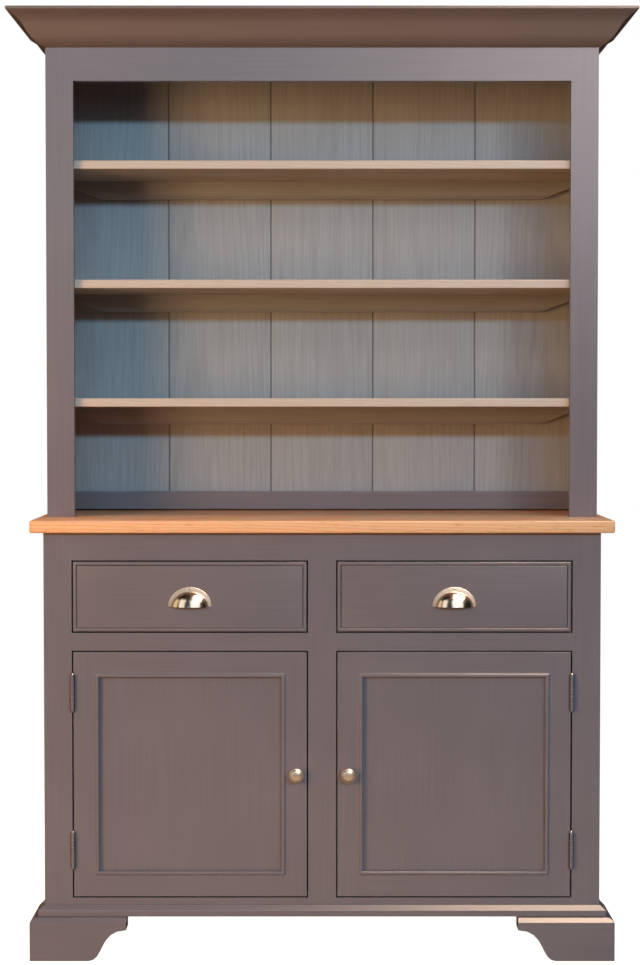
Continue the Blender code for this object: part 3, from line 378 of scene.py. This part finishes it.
def flat_sawn_oak(name, pale, line, pore, stave):
    """Oak whose grain runs across the dresser, in the colours given: those of its finish, and for
    shelf undersides a painted shade.
    """
    wood, place = new_material(name)
    lines = growth_rings(wood, place, "X", "Y", "Z", stave, OAK_RING, OAK_RUN_OUT)
    dash = (1 / PORE_LENGTH, 1 / PORE_WIDTH, 1 / PORE_WIDTH)
    pores_at = add_node(wood, "ShaderNodeMapping", {"Vector": place, "Scale": dash})[0]
    dashes = {"Vector": pores_at, "Scale": 1.0, "Detail": 2.0}
    pores = add_node(wood, "ShaderNodeTexNoise", dashes)[0]
    figure = add_node(wood, "ShaderNodeMix", {0: PORE_SHARE, 2: lines, 3: pores})[0]
    tones = {"Value": figure, "From Min": 0.1, "From Max": 0.95}
    amount = add_node(wood, "ShaderNodeMapRange", tones)[0]
    shades = {0: amount, 6: linear(pale), 7: linear(line)}
    body = add_node(wood, "ShaderNodeMix", shades, data_type="RGBA")[2]
    deepest = {"Value": pores, "From Min": 0.6, "From Max": 0.75, "To Max": 0.6}
    open_pores = add_node(wood, "ShaderNodeMapRange", deepest)[0]
    shades = {0: open_pores, 6: body, 7: linear(pore)}
    colour = add_node(wood, "ShaderNodeMix", shades, data_type="RGBA")[2]
    sheen = {"Value": figure, "From Min": 0.2, "From Max": 0.8, "To Min": 0.48, "To Max": 0.62}
    roughness = add_node(wood, "ShaderNodeMapRange", sheen)[0]
    hollow = {"Height": open_pores, "Strength": 0.4, "Distance": PORE_DEPTH}
    relief = add_node(wood, "ShaderNodeBump", hollow, invert=True)["Normal"]
    surface = {"Base Color": colour, "Roughness": roughness, "IOR": 1.5, "Normal": relief}
    shader = add_node(wood, "ShaderNodeBsdfPrincipled", surface)[0]
    add_node(wood, "ShaderNodeOutputMaterial", {"Surface": shader})
    return wood


oiled_oak = flat_sawn_oak("oiled_oak", OAK_PALE, OAK_LINE, OAK_PORE, OAK_STAVE)
eased("worktop", [oiled_oak, oiled_oak], ease=FINE_ROUND)

# Plate rack: painted sides, stiles and top rail like the base, with a dust board on top.
# The inside faces of the sides are painted in the paler stone colour of the back, and the
# rail at its foot is pinned to it a little clear of the worktop.
STONE_PALE = "a79b9a"
STONE_LINE = "958987"
JOINT_DARK = "6e6766"
BACK_BOARD = 239.1 * MM
STONE_RING = 5 * MM
STONE_RUN_OUT = 0.015
STONE_RELIEF = 0.04 * MM
WASHED_WIDTH = 3.2 * MM
WASHED_LENGTH = 110 * MM
WASHED_SHARE = 0.85
RAIL_FOOT = 3 * MM


def stone_wash(name, along, across, through, joints=False):
    """Thin stone-coloured paint over pine boards: the grain shows through it as darker, slightly
    raised fibres, and in the V of the joints between boards the paint is thin and dark."""
    wood, place = new_material(name)
    boards = (along, across, through, BACK_BOARD)
    lines = growth_rings(wood, place, *boards, STONE_RING, STONE_RUN_OUT)
    fibre = [1 / WASHED_WIDTH] * 3
    fibre["XYZ".index(along)] = 1 / WASHED_LENGTH
    fibres_at = add_node(wood, "ShaderNodeMapping", {"Vector": place, "Scale": fibre})[0]
    streaks = {"Vector": fibres_at, "Scale": 1.0, "Detail": 2.0}
    fibres = add_node(wood, "ShaderNodeTexNoise", streaks)[0]
    figure = add_node(wood, "ShaderNodeMix", {0: WASHED_SHARE, 2: lines, 3: fibres})[0]
    tones = {"Value": figure, "From Min": 0.2, "From Max": 0.75}
    amount = add_node(wood, "ShaderNodeMapRange", tones)[0]
    shades = {0: amount, 6: linear(STONE_PALE), 7: linear(STONE_LINE)}
    colour = add_node(wood, "ShaderNodeMix", shades, data_type="RGBA")[2]
    if joints:
        facing = add_node(wood, "ShaderNodeNewGeometry", {})["True Normal"]
        lean = add_node(wood, "ShaderNodeSeparateXYZ", {"Vector": facing})[across]
        steep = add_node(wood, "ShaderNodeMath", {0: lean}, operation="ABSOLUTE")[0]
        slope = {"Value": steep, "From Min": 0.2, "From Max": 0.6}
        in_joint = add_node(wood, "ShaderNodeMapRange", slope)[0]
        shades = {0: in_joint, 6: colour, 7: linear(JOINT_DARK)}
        colour = add_node(wood, "ShaderNodeMix", shades, data_type="RGBA")[2]
    sheen = {"Value": fibres, "From Min": 0.3, "From Max": 0.7, "To Min": 0.46, "To Max": 0.6}
    roughness = add_node(wood, "ShaderNodeMapRange", sheen)[0]
    ridge = {"Height": figure, "Strength": 0.4, "Distance": STONE_RELIEF}
    relief = add_node(wood, "ShaderNodeBump", ridge)["Normal"]
    surface = {"Base Color": colour, "Roughness": roughness, "IOR": 1.5, "Normal": relief}
    shader = add_node(wood, "ShaderNodeBsdfPrincipled", surface)[0]
    add_node(wood, "ShaderNodeOutputMaterial", {"Surface": shader})
    return wood


stone_boards = stone_wash("stone_wash_boards", "Z", "X", "Y", joints=True)
stone_sides = stone_wash("stone_wash_sides", "Z", "Y", "X")
stone_level = stone_wash("stone_wash_level", "X", "Y", "Z")
for side, sign in SIDES.items():
    finishes = [taupe_upright, taupe_rubbed_highlight, stone_sides]
    eased(f"rack_{side}_side", finishes, other=lambda facing, at: facing.x * sign < -SQUARE_ON)
    face_frame(f"rack_{side}_stile", taupe_upright)
face_frame("rack_top_rail", taupe_level)
finishes = [stone_level, stone_level, pine_level]
eased("rack_top", finishes, other=lambda facing, at: facing.z > SQUARE_ON)
bottom_rail = eased("rack_bottom_rail", [taupe_level, taupe_rubbed_highlight])
low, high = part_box("rack_bottom_rail")
for vertex in bottom_rail.data.vertices:
    if vertex.co.z < low.z + NEAR:
        vertex.co.z += RAIL_FOOT

# Back boards: five pine boards, tongued together with a V at each joint, washed with stone
# paint in front and left bare behind.
BOARD_ROUND = 0.5 * MM
finishes = [stone_boards, stone_boards, pine_backing]
eased("rack_back", finishes, ease=BOARD_ROUND, other=lambda facing, at: facing.y > SQUARE_ON)

# Rack shelves: pale waxed oak, each glued to a batten under its back edge and let into the sides.
# Wax keeps the oak near its own colour; the battens are washed with the back, and the
# undersides of the boards are a darker, browner copy of the oak as painted shade.
SHELF_PALE = "d2ae9c"
SHELF_LINE = "cba692"
SHELF_PORE = "bf9985"
UNDERSIDE_SHADE_PALE = "b89c80"
UNDERSIDE_SHADE_LINE = "b09376"
UNDERSIDE_SHADE_PORE = "9c8066"
SHELF_STAVE = 105 * MM
SHELF_ROUND = 1.0 * MM
waxed_oak = flat_sawn_oak("waxed_oak", SHELF_PALE, SHELF_LINE, SHELF_PORE, SHELF_STAVE)
oak_underside_shade = flat_sawn_oak("oak_underside_shade", UNDERSIDE_SHADE_PALE, UNDERSIDE_SHADE_LINE, UNDERSIDE_SHADE_PORE, SHELF_STAVE)
for level in ("low", "middle", "high"):
    low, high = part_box(f"rack_shelf_{level}")
    finishes = [stone_level, stone_level, waxed_oak, oak_underside_shade]
    shelf = eased(
        f"rack_shelf_{level}", finishes, ease=SHELF_ROUND,
        other=lambda facing, at: facing.z > SQUARE_ON or at.y < low.y + NEAR,
    )
    shelf.modifiers[0].material = -1
    # Painted shade: faces turned down take the darker, browner oak.
    for face in shelf.data.polygons:
        if face.normal.z < -SQUARE_ON:
            face.material_index = 3

# Cornice: a cyma run on poplar, mitred at the two front corners and pinned to the rack.
# It is brushed in a browner coat of the same paint, and shows darker than the frame below.
UMBER_DEEP = "6d5249"
UMBER_PALE = "7c5e54"
umber_level = brushed_eggshell("umber_eggshell_level", "X", deep=UMBER_DEEP, pale=UMBER_PALE)
umber_inward = brushed_eggshell("umber_eggshell_inward", "Y", deep=UMBER_DEEP, pale=UMBER_PALE)
eased("cornice_front", [umber_level, umber_level])
for side in SIDES:
    eased(f"cornice_{side}", [umber_inward, umber_inward])

# Doors: mortised poplar frames with a planted bead round a flat panel, which sits loose in
# a groove. All are painted taupe, the stiles upright and the rails across.
DOOR_STILE = 46 * MM
for side in SIDES:
    low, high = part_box(f"door_{side}_frame")
    rails = ((low.x + high.x) / 2, (high.x - low.x) / 2 - DOOR_STILE)
    door_paint = brushed_eggshell(f"taupe_eggshell_door_{side}", "X", stiles=rails)
    eased(f"door_{side}_frame", [door_paint, taupe_rubbed_highlight], ease=FINE_ROUND)
    eased(f"door_{side}_panel", [taupe_upright, taupe_rubbed_highlight])

# Butt hinges: pressed steel leaves rolled round a pin with small finials. They are painted
# in with the frame; the paint is worn off the ends, where dull nickel plate shows, and the
# flanks of the barrel where it meets the wood are painted dark as shade.
STEEL_DULL = "8d8584"
STEEL_WORN = "b8b0ae"
FLANK_SHADE_DARK = "2b2322"
FLANK_SHADE_PALE = "3d3331"
TARNISH = 7 * MM
HINGE_ROUND = 0.25 * MM
WORN_END = 0.4
SHADED_FLANK = 0.6


def tarnished_steel_and_shade(name, dull, worn):
    """Steel in blotches, duller where it is darker: tarnished plate, or the painted shade on a
    barrel's flanks.
    """
    metal, place = new_material(name)
    blotches = {"Vector": place, "Scale": 1 / TARNISH, "Detail": 3.0}
    tarnish = add_node(metal, "ShaderNodeTexNoise", blotches)[0]
    shades = {0: tarnish, 6: linear(dull), 7: linear(worn)}
    colour = add_node(metal, "ShaderNodeMix", shades, data_type="RGBA")[2]
    sheen = {"Value": tarnish, "From Min": 0.3, "From Max": 0.7, "To Min": 0.42, "To Max": 0.28}
    roughness = add_node(metal, "ShaderNodeMapRange", sheen)[0]
    surface = {"Base Color": colour, "Roughness": roughness, "Metallic": 1.0}
    shader = add_node(metal, "ShaderNodeBsdfPrincipled", surface)[0]
    add_node(metal, "ShaderNodeOutputMaterial", {"Surface": shader})
    return metal


dull_steel = tarnished_steel_and_shade("dull_nickel_on_steel", STEEL_DULL, STEEL_WORN)
steel_flank_shade = tarnished_steel_and_shade("steel_flank_shade", FLANK_SHADE_DARK, FLANK_SHADE_PALE)
finishes = [taupe_upright, taupe_rubbed_highlight, dull_steel, steel_flank_shade]
for side in SIDES:
    for level in ("upper", "lower"):
        for leaf in ("frame", "door"):
            hinge = eased(
                f"hinge_{side}_{level}_{leaf}_leaf", finishes, ease=HINGE_ROUND,
                other=lambda facing, at: abs(facing.z) > WORN_END,
            )
            # Painted shade: the sideways flanks of the barrel take the dark steel.
            for face in hinge.data.polygons:
                if abs(face.normal.x) > SHADED_FLANK:
                    face.material_index = 3

# Knobs: turned brass, plated with satin nickel and screwed from behind. A fine groove parts
# the domed face from the rim. The plate is dulled on a wheel, so that it shines softly.
NICKEL = "d9d2cb"
NICKEL_SHADE = "c4bbb3"
BRUSHING = 1.2 * MM
KNOB_RADIUS = 16 * MM
KNOB_FACE = 13 * MM
KNOB_DOME = 5 * MM
KNOB_GROOVE = 0.9 * MM
KNOB_RIM = 4.4 * MM
KNOB_NECK = 6.5 * MM
KNOB_ROSE = 9.5 * MM
KNOB_EASE = 1 * MM
ROSE_HEIGHT = 2.5 * MM
TURNED_STEPS = 72


def brushed_nickel(name, smooth, rough):
    """Nickel plate that a fine wheel has left dull, between a smoothest and a roughest spot."""
    plate, place = new_material(name)
    wheel = {"Vector": place, "Scale": 1 / BRUSHING, "Detail": 2.0}
    brushing = add_node(plate, "ShaderNodeTexNoise", wheel)[0]
    shades = {0: brushing, 6: linear(NICKEL_SHADE), 7: linear(NICKEL)}
    colour = add_node(plate, "ShaderNodeMix", shades, data_type="RGBA")[2]
    sheen = {"Value": brushing, "From Min": 0.3, "From Max": 0.7, "To Min": rough, "To Max": smooth}
    roughness = add_node(plate, "ShaderNodeMapRange", sheen)[0]
    surface = {"Base Color": colour, "Roughness": roughness, "Metallic": 1.0}
    shader = add_node(plate, "ShaderNodeBsdfPrincipled", surface)[0]
    add_node(plate, "ShaderNodeOutputMaterial", {"Surface": shader})
    return plate


def arc(middle, radii, start, end, steps):
    """Points along a part of an ellipse in the plane of a profile, angles in degrees."""
    angles = [math.radians(start + (end - start) * step / steps) for step in range(steps + 1)]
    return [
        (middle[0] + radii[0] * math.cos(angle), middle[1] + radii[1] * math.sin(angle))
        for angle in angles
    ]


def turn_profile(form, profile, middle):
    """Turn a profile of radius and height about an axis that points to the front."""
    line = [form.verts.new((radius, -height, 0)) for radius, height in profile]
    edges = [form.edges.new(pair) for pair in zip(line, line[1:])]
    turn = {"axis": (0, 1, 0), "cent": (0, 0, 0), "angle": 2 * math.pi, "steps": TURNED_STEPS}
    before = set(form.verts) - set(line)
    bmesh.ops.spin(form, geom=line + edges, use_merge=True, **turn)
    turned = [vertex for vertex in form.verts if vertex not in before]
    bmesh.ops.translate(form, verts=turned, vec=middle)


def stand_in_for(name, form, finishes):
    """A piece made anew in place of its solid, on the same body."""
    bmesh.ops.remove_doubles(form, verts=form.verts, dist=WELD)
    bmesh.ops.recalc_face_normals(form, faces=form.faces)
    for face in form.faces:
        face.smooth = True
    mesh = bpy.data.meshes.new(f"{name}_made")
    form.to_mesh(mesh)
    form.free()
    for finish in finishes:
        mesh.materials.append(finish)
    mesh.set_sharp_from_angle(angle=ARRIS_ANGLE)
    piece = bpy.data.objects.new(f"{name}_made", mesh)
    bpy.context.scene.collection.objects.link(piece)
    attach(piece, solids[name]["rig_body"])
    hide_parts(name)


satin_nickel = brushed_nickel("satin_nickel", smooth=0.34, rough=0.42)
for side in SIDES:
    low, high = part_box(f"door_{side}_knob")
    shoulder = high.y - low.y - KNOB_DOME
    groove = (KNOB_GROOVE, KNOB_GROOVE)
    rim = KNOB_RADIUS - KNOB_FACE - KNOB_GROOVE
    under = shoulder - KNOB_RIM
    bend = (KNOB_EASE, KNOB_EASE)
    flare = KNOB_RADIUS - KNOB_EASE - KNOB_NECK
    drop = under - KNOB_EASE - ROSE_HEIGHT
    profile = arc((0, shoulder), (KNOB_FACE, KNOB_DOME), 90, 8, 14)
    profile += arc((KNOB_FACE, shoulder - KNOB_GROOVE), groove, 180, 330, 6)
    profile += arc((KNOB_RADIUS - rim, shoulder - rim), (rim, rim), 90, 0, 5)
    profile += arc((KNOB_RADIUS - KNOB_EASE, under), bend, 0, -90, 4)
    profile += arc((KNOB_NECK + flare, under - KNOB_EASE - drop), (flare, drop), 90, 180, 10)
    profile += arc((KNOB_ROSE - KNOB_EASE, ROSE_HEIGHT - KNOB_EASE), bend, 90, 0, 4)
    profile += [(KNOB_ROSE, 0), (0, 0)]
    form = bmesh.new()
    turn_profile(form, profile, ((low.x + high.x) / 2, high.y, (low.z + high.z) / 2))
    stand_in_for(f"door_{side}_knob", form, [satin_nickel])

# Drawers: beaded poplar fronts painted taupe, on lacquered pine boxes. The quirk beside the
# bead is painted darker as shade in the recess, except along its foot, where it catches light.
QUIRK_SHADE_DEEP = "524546"
QUIRK_SHADE_PALE = "5e5152"
LIT_FOOT = 12 * MM
QUIRK_LEAST = 0.1
QUIRK_MOST = 0.6
taupe_quirk_shade = brushed_eggshell("taupe_eggshell_quirk_shade", "X", deep=QUIRK_SHADE_DEEP, pale=QUIRK_SHADE_PALE)
for side in SIDES:
    low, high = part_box(f"drawer_{side}_front")
    front = eased(
        f"drawer_{side}_front", [taupe_level, taupe_rubbed_highlight, pine_level, taupe_quirk_shade],
        ease=FINE_ROUND, other=lambda facing, at: facing.y > SQUARE_ON,
    )
    front.modifiers[0].material = -1
    # Painted shade: the steep faces of the quirk take the dark paint, except along the lit foot.
    for face in front.data.polygons:
        in_shaded_quirk = QUIRK_LEAST < -face.normal.y < QUIRK_MOST
        if in_shaded_quirk and face.center.z > low.z + LIT_FOOT:
            face.material_index = 3
    for hand in SIDES:
        eased(f"drawer_{side}_{hand}_side", [pine_inward, pine_inward], ease=FINE_ROUND)
    for board in ("back", "bottom"):
        eased(f"drawer_{side}_{board}", [pine_level, pine_level], ease=FINE_ROUND)

# Cup pulls: a half dome cast in brass, open below for the fingers, with a flange along its
# arch that is screwed to the drawer front. The nickel plate is buffed on the bowl, where it
# mirrors the room, and matt on the flange.
PULL_TOP_FLANGE = 9.5 * MM
PULL_SIDE_FLANGE = 7 * MM
FLANGE_THICKNESS = 2.4 * MM
FLANGE_EDGE = 1.1 * MM
PULL_SCREW = 2.1 * MM
SCREW_RISE = 0.7 * MM
PULL_WALL = 2 * MM
BOWL_SWEEP = math.radians(70)
DOME_STEPS = 56
BOWL_STEPS = 18


def dome_sheet(form, across, depth, up):
    """Rows of points over part of an ellipsoid, its arch to the drawer and its lip below. It
    stops short of a quarter, so that the lip still leans back."""
    points = []
    for step in range(DOME_STEPS + 1):
        along = math.pi * step / DOME_STEPS
        row = []
        for rise in range(BOWL_STEPS + 1):
            over = BOWL_SWEEP * rise / BOWL_STEPS
            out = math.sin(over) / math.sin(BOWL_SWEEP)
            height = (math.cos(over) - math.cos(BOWL_SWEEP)) / (1 - math.cos(BOWL_SWEEP))
            row.append(form.verts.new((
                -across * math.cos(along),
                -depth * out * math.sin(along),
                up * height * math.sin(along),
            )))
        points.append(row)
    return points


def dome_shell(form, across, depth, up, wall):
    """A bowl with a wall, closed along its arch and its lip."""
    outer = dome_sheet(form, across, depth, up)
    inner = dome_sheet(form, across - wall, depth - wall, up - wall)
    for step in range(DOME_STEPS):
        for points in (outer, inner):
            row, after = points[step], points[step + 1]
            for rise in range(BOWL_STEPS):
                form.faces.new((row[rise], after[rise], after[rise + 1], row[rise + 1]))
        for rise in (0, BOWL_STEPS):
            rim = (outer[step], outer[step + 1], inner[step + 1], inner[step])
            form.faces.new([row[rise] for row in rim])


def arch_flange(form, outer, inner, thickness, edge):
    """An arch standing on the drawer front, that thins from the dome to a rounded edge."""
    rings = [(inner, 0), (inner, -thickness)]
    for over, rise in arc((0, 0), (edge, edge), 90, 0, 3):
        rings.append(((outer[0] - edge + over, outer[1] - edge + over), -rise))
    angles = [math.pi * step / DOME_STEPS for step in range(DOME_STEPS + 1)]
    loops = []
    for (across, up), y in rings:
        points = [(-across * math.cos(angle), y, up * math.sin(angle)) for angle in angles]
        loops.append([form.verts.new(point) for point in points])
    for first, second in zip(loops, loops[1:] + loops[:1]):
        for step in range(DOME_STEPS):
            corners = (first[step], first[step + 1], second[step + 1], second[step])
            form.faces.new(corners).material_index = 1
    for end in (0, DOME_STEPS):
        form.faces.new([loop[end] for loop in loops]).material_index = 1


buffed_nickel = brushed_nickel("buffed_nickel", smooth=0.15, rough=0.2)
matt_nickel = brushed_nickel("matt_nickel", smooth=0.4, rough=0.5)
for side in SIDES:
    low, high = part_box(f"drawer_{side}_pull")
    half, height = (high.x - low.x) / 2, high.z - low.z
    bowl = (half - PULL_SIDE_FLANGE, height - PULL_TOP_FLANGE)
    seat = FLANGE_THICKNESS / 2
    form = bmesh.new()
    dome_shell(form, bowl[0], high.y - low.y - seat, bowl[1], PULL_WALL)
    bmesh.ops.translate(form, verts=form.verts, vec=(0, -seat, 0))
    window = (bowl[0] - PULL_WALL / 2, bowl[1] - PULL_WALL / 2)
    arch_flange(form, (half, height), window, FLANGE_THICKNESS, FLANGE_EDGE)
    screw = arc((0, 0), (PULL_SCREW, SCREW_RISE), 90, 0, 5)
    turn_profile(form, screw, (0, -FLANGE_THICKNESS + SCREW_RISE, height - PULL_TOP_FLANGE / 2))
    bmesh.ops.translate(form, verts=form.verts, vec=((low.x + high.x) / 2, high.y, low.z))
    stand_in_for(f"drawer_{side}_pull", form, [buffed_nickel, matt_nickel])

# Studio floor and ground: a pale matt floor that fades into a white ground. To the camera
# both are plain white, and the floor still gives its warm light back to the feet. Colours
# are kept as the lamps give them.
FLOOR_PALE = "cba67e"
FLOOR_GLOW = 1.0
FLOOR_RADIUS = 6.0
FLOOR_SEGMENTS = 96
FADE_START = 1.2
FADE_END = 3.6
GROUND_DIM = "f2e8df"
GROUND_GLOW = 0.005
WHITE = (1, 1, 1, 1)
bpy.context.scene.view_settings.view_transform = "Standard"
floor_form = bmesh.new()
bmesh.ops.create_circle(floor_form, cap_ends=True, segments=FLOOR_SEGMENTS, radius=FLOOR_RADIUS)
floor_mesh = bpy.data.meshes.new("floor")
floor_form.to_mesh(floor_mesh)
floor_form.free()
floor = bpy.data.objects.new("floor", floor_mesh)
bpy.context.scene.collection.objects.link(floor)
floor_finish, place = new_material("pale_floor")
distance = add_node(floor_finish, "ShaderNodeVectorMath", {0: place}, operation="LENGTH")["Value"]
outwards = {"Value": distance, "From Min": FADE_START, "From Max": FADE_END}
fade = add_node(floor_finish, "ShaderNodeMapRange", outwards, interpolation_type="SMOOTHSTEP")[0]
seen = add_node(floor_finish, "ShaderNodeLightPath", {})["Is Camera Ray"]
lit = {0: seen, 1: FLOOR_GLOW}
glow = add_node(floor_finish, "ShaderNodeMath", lit, operation="MULTIPLY")[0]
surface = {
    "Base Color": linear(FLOOR_PALE),
    "Roughness": 0.9,
    "Emission Color": WHITE,
    "Emission Strength": glow,
}
shader = add_node(floor_finish, "ShaderNodeBsdfPrincipled", surface)[0]
clear = add_node(floor_finish, "ShaderNodeBsdfTransparent", {})[0]
mixed = add_node(floor_finish, "ShaderNodeMixShader", {0: fade, 1: shader, 2: clear})[0]
add_node(floor_finish, "ShaderNodeOutputMaterial", {"Surface": mixed})
floor_mesh.materials.append(floor_finish)

ground = bpy.data.worlds.new("studio")
bpy.context.scene.world = ground
ground.use_nodes = True
ground.node_tree.nodes.clear()
seen = add_node(ground, "ShaderNodeLightPath", {})["Is Camera Ray"]
white = add_node(ground, "ShaderNodeBackground", {"Color": WHITE, "Strength": 1.0})[0]
dimmed = {"Color": linear(GROUND_DIM), "Strength": GROUND_GLOW}
dim = add_node(ground, "ShaderNodeBackground", dimmed)[0]
mixed = add_node(ground, "ShaderNodeMixShader", {0: seen, 1: dim, 2: white})[0]
add_node(ground, "ShaderNodeOutputWorld", {"Surface": mixed})

# Studio lamps: a wide warm one and a strip on the left, cool strips far in front, one overhead,
# a cool lamp on the right, and two behind that grids keep off the floor. Each row gives a
# lamp's place, its colour, watts, size and the degrees that its light spreads.
LAMP_TARGET = (0, 0, 1.0)
BARE = 180
BACK_GRID = 56
LAMPS = (
    ("warm_wide_lamp", (-2.85, -3.75, 1.2), (1.0, 0.71, 0.34), 124, (1.75, 1.9), BARE),
    ("left_strip", (-3.0, -2.6, 2.6), (0.92, 0.92, 1.0), 24, (1.6, 0.3), BARE),
    ("cool_far_strip_left", (-0.8, -8.7, 3.25), (0.22, 0.71, 1.0), 118, (1.6, 0.35), BARE),
    ("cool_far_strip_mid", (1.4, -8.7, 3.25), (0.02, 0.49, 1.0), 150, (1.6, 0.35), BARE),
    ("cool_far_strip_right", (3.6, -8.7, 3.25), (0.58, 0.89, 1.0), 284, (1.6, 0.35), BARE),
    ("cool_right_lamp", (3.2, -1.6, 2.2), (0.05, 0.57, 1.0), 15, (0.8, 0.8), BARE),
    ("overhead_strip", (-0.2, -0.5, 3.6), (0.8, 0.8, 0.85), 20, (1.6, 0.3), BARE),
    ("back_lamp_right", (3.5, 1.8, 1.8), (1.0, 0.92, 0.84), 110, (1.6, 1.6), BACK_GRID),
    ("back_lamp_left", (-3.5, 1.8, 1.8), (1.0, 0.92, 0.84), 60, (1.6, 1.6), BACK_GRID),
)


def hang(name, light_place, target, colour, watts, size, spread):
    """A rectangular studio light, facing a target. A grid can narrow its spread, in degrees,
    and takes away the rest of its light."""
    light = bpy.data.lights.new(name, "AREA")
    light.shape = "RECTANGLE"
    light.size, light.size_y = size
    light.spread = math.radians(spread)
    light.energy = watts * (1 - light.spread / 2 / math.tan(light.spread / 2))
    light.color = colour
    lamp = bpy.data.objects.new(name, light)
    bpy.context.scene.collection.objects.link(lamp)
    aim = Vector(target) - Vector(light_place)
    turn = aim.to_track_quat("-Z", "Y").to_matrix().to_4x4()
    lamp.matrix_world = Matrix.Translation(light_place) @ turn
    return lamp


for name, light_place, colour, watts, size, spread in LAMPS:
    lamp = hang(name, light_place, LAMP_TARGET, colour, watts, size, spread)
    lamp.visible_glossy = False

# Reflector cards: lit boards round the camera and over the right corner. They only show in
# the metal and in the gloss of the paint, and light nothing else. Each row gives a card's
# place, its target, colour, glow, size and spread; grids keep the front ones off the pulls.
CARD_GRID = 24
CARDS = (
    ("white_card", (1.37, -4.2, 2.9), (0, -0.2, 1.0),
     (1.0, 0.98, 0.95), 1.7, (3.4, 2.6), BARE),
    ("cream_card", (-2.6, -3.4, 2.4), (0, -0.2, 1.0),
     (1.0, 0.90, 0.76), 1.5, (1.9, 3.4), BARE),
    ("blue_front_card", (-0.55, -4.25, 2.58), (-0.35, -0.1, 1.95),
     (0.2, 0.75, 1.0), 3.6, (2.3, 1.2), CARD_GRID),
    ("left_front_card", (-1.12, -4.25, 2.1), (-0.58, -0.1, 1.65),
     (1.0, 0.90, 0.85), 3.0, (0.5, 1.6), CARD_GRID),
    ("right_front_card", (1.75, -4.3, 2.55), (1.24, -0.1, 1.95),
     (0.94, 0.92, 1.0), 11.0, (2.0, 1.2), CARD_GRID),
    ("gold_card", (-3.4, -0.3, 1.6), (0, -0.2, 0.8),
     (1.0, 0.70, 0.38), 1.2, (3.4, 3.2), BARE),
    ("upper_card", (1.1, -2.4, 3.3), (0, -0.2, 0.8),
     (1.0, 0.97, 0.92), 1.5, (1.8, 1.4), BARE),
    ("low_card", (0, -4.4, 0.65), (0, 0, 0.65),
     (1.0, 0.70, 0.56), 0.12, (4.0, 1.3), BARE),
    ("floor_card", (0, -1.9, 0.01), (0, -1.9, 1.0),
     (1.0, 0.60, 0.42), 0.6, (3.4, 2.4), BARE),
    ("ceiling_card", (1.2, -1.3, 3.0), (1.2, -1.3, 0.0),
     (1.0, 0.72, 0.50), 27.0, (1.6, 1.6), BARE),
)
for name, light_place, target, colour, glow, size, spread in CARDS:
    watts = math.pi * glow * size[0] * size[1]
    card = hang(name, light_place, target, colour, watts, size, spread)
    card.visible_diffuse = False
    card.visible_camera = False

# Camera: straight in front, at the height of the low shelf and tipped a little down, as in
# the photograph.
LENS = 79.96
SENSOR = 36
CAMERA_PLACE = (-0.0046, -4.815, 1.199)
CAMERA_TILT = math.radians(87.907)
lens = bpy.data.cameras.new("camera")
lens.lens = LENS
lens.sensor_width = SENSOR
camera = bpy.data.objects.new("camera", lens)
camera.location = CAMERA_PLACE
camera.rotation_euler = (CAMERA_TILT, 0, 0)
bpy.context.scene.collection.objects.link(camera)
bpy.context.scene.camera = camera
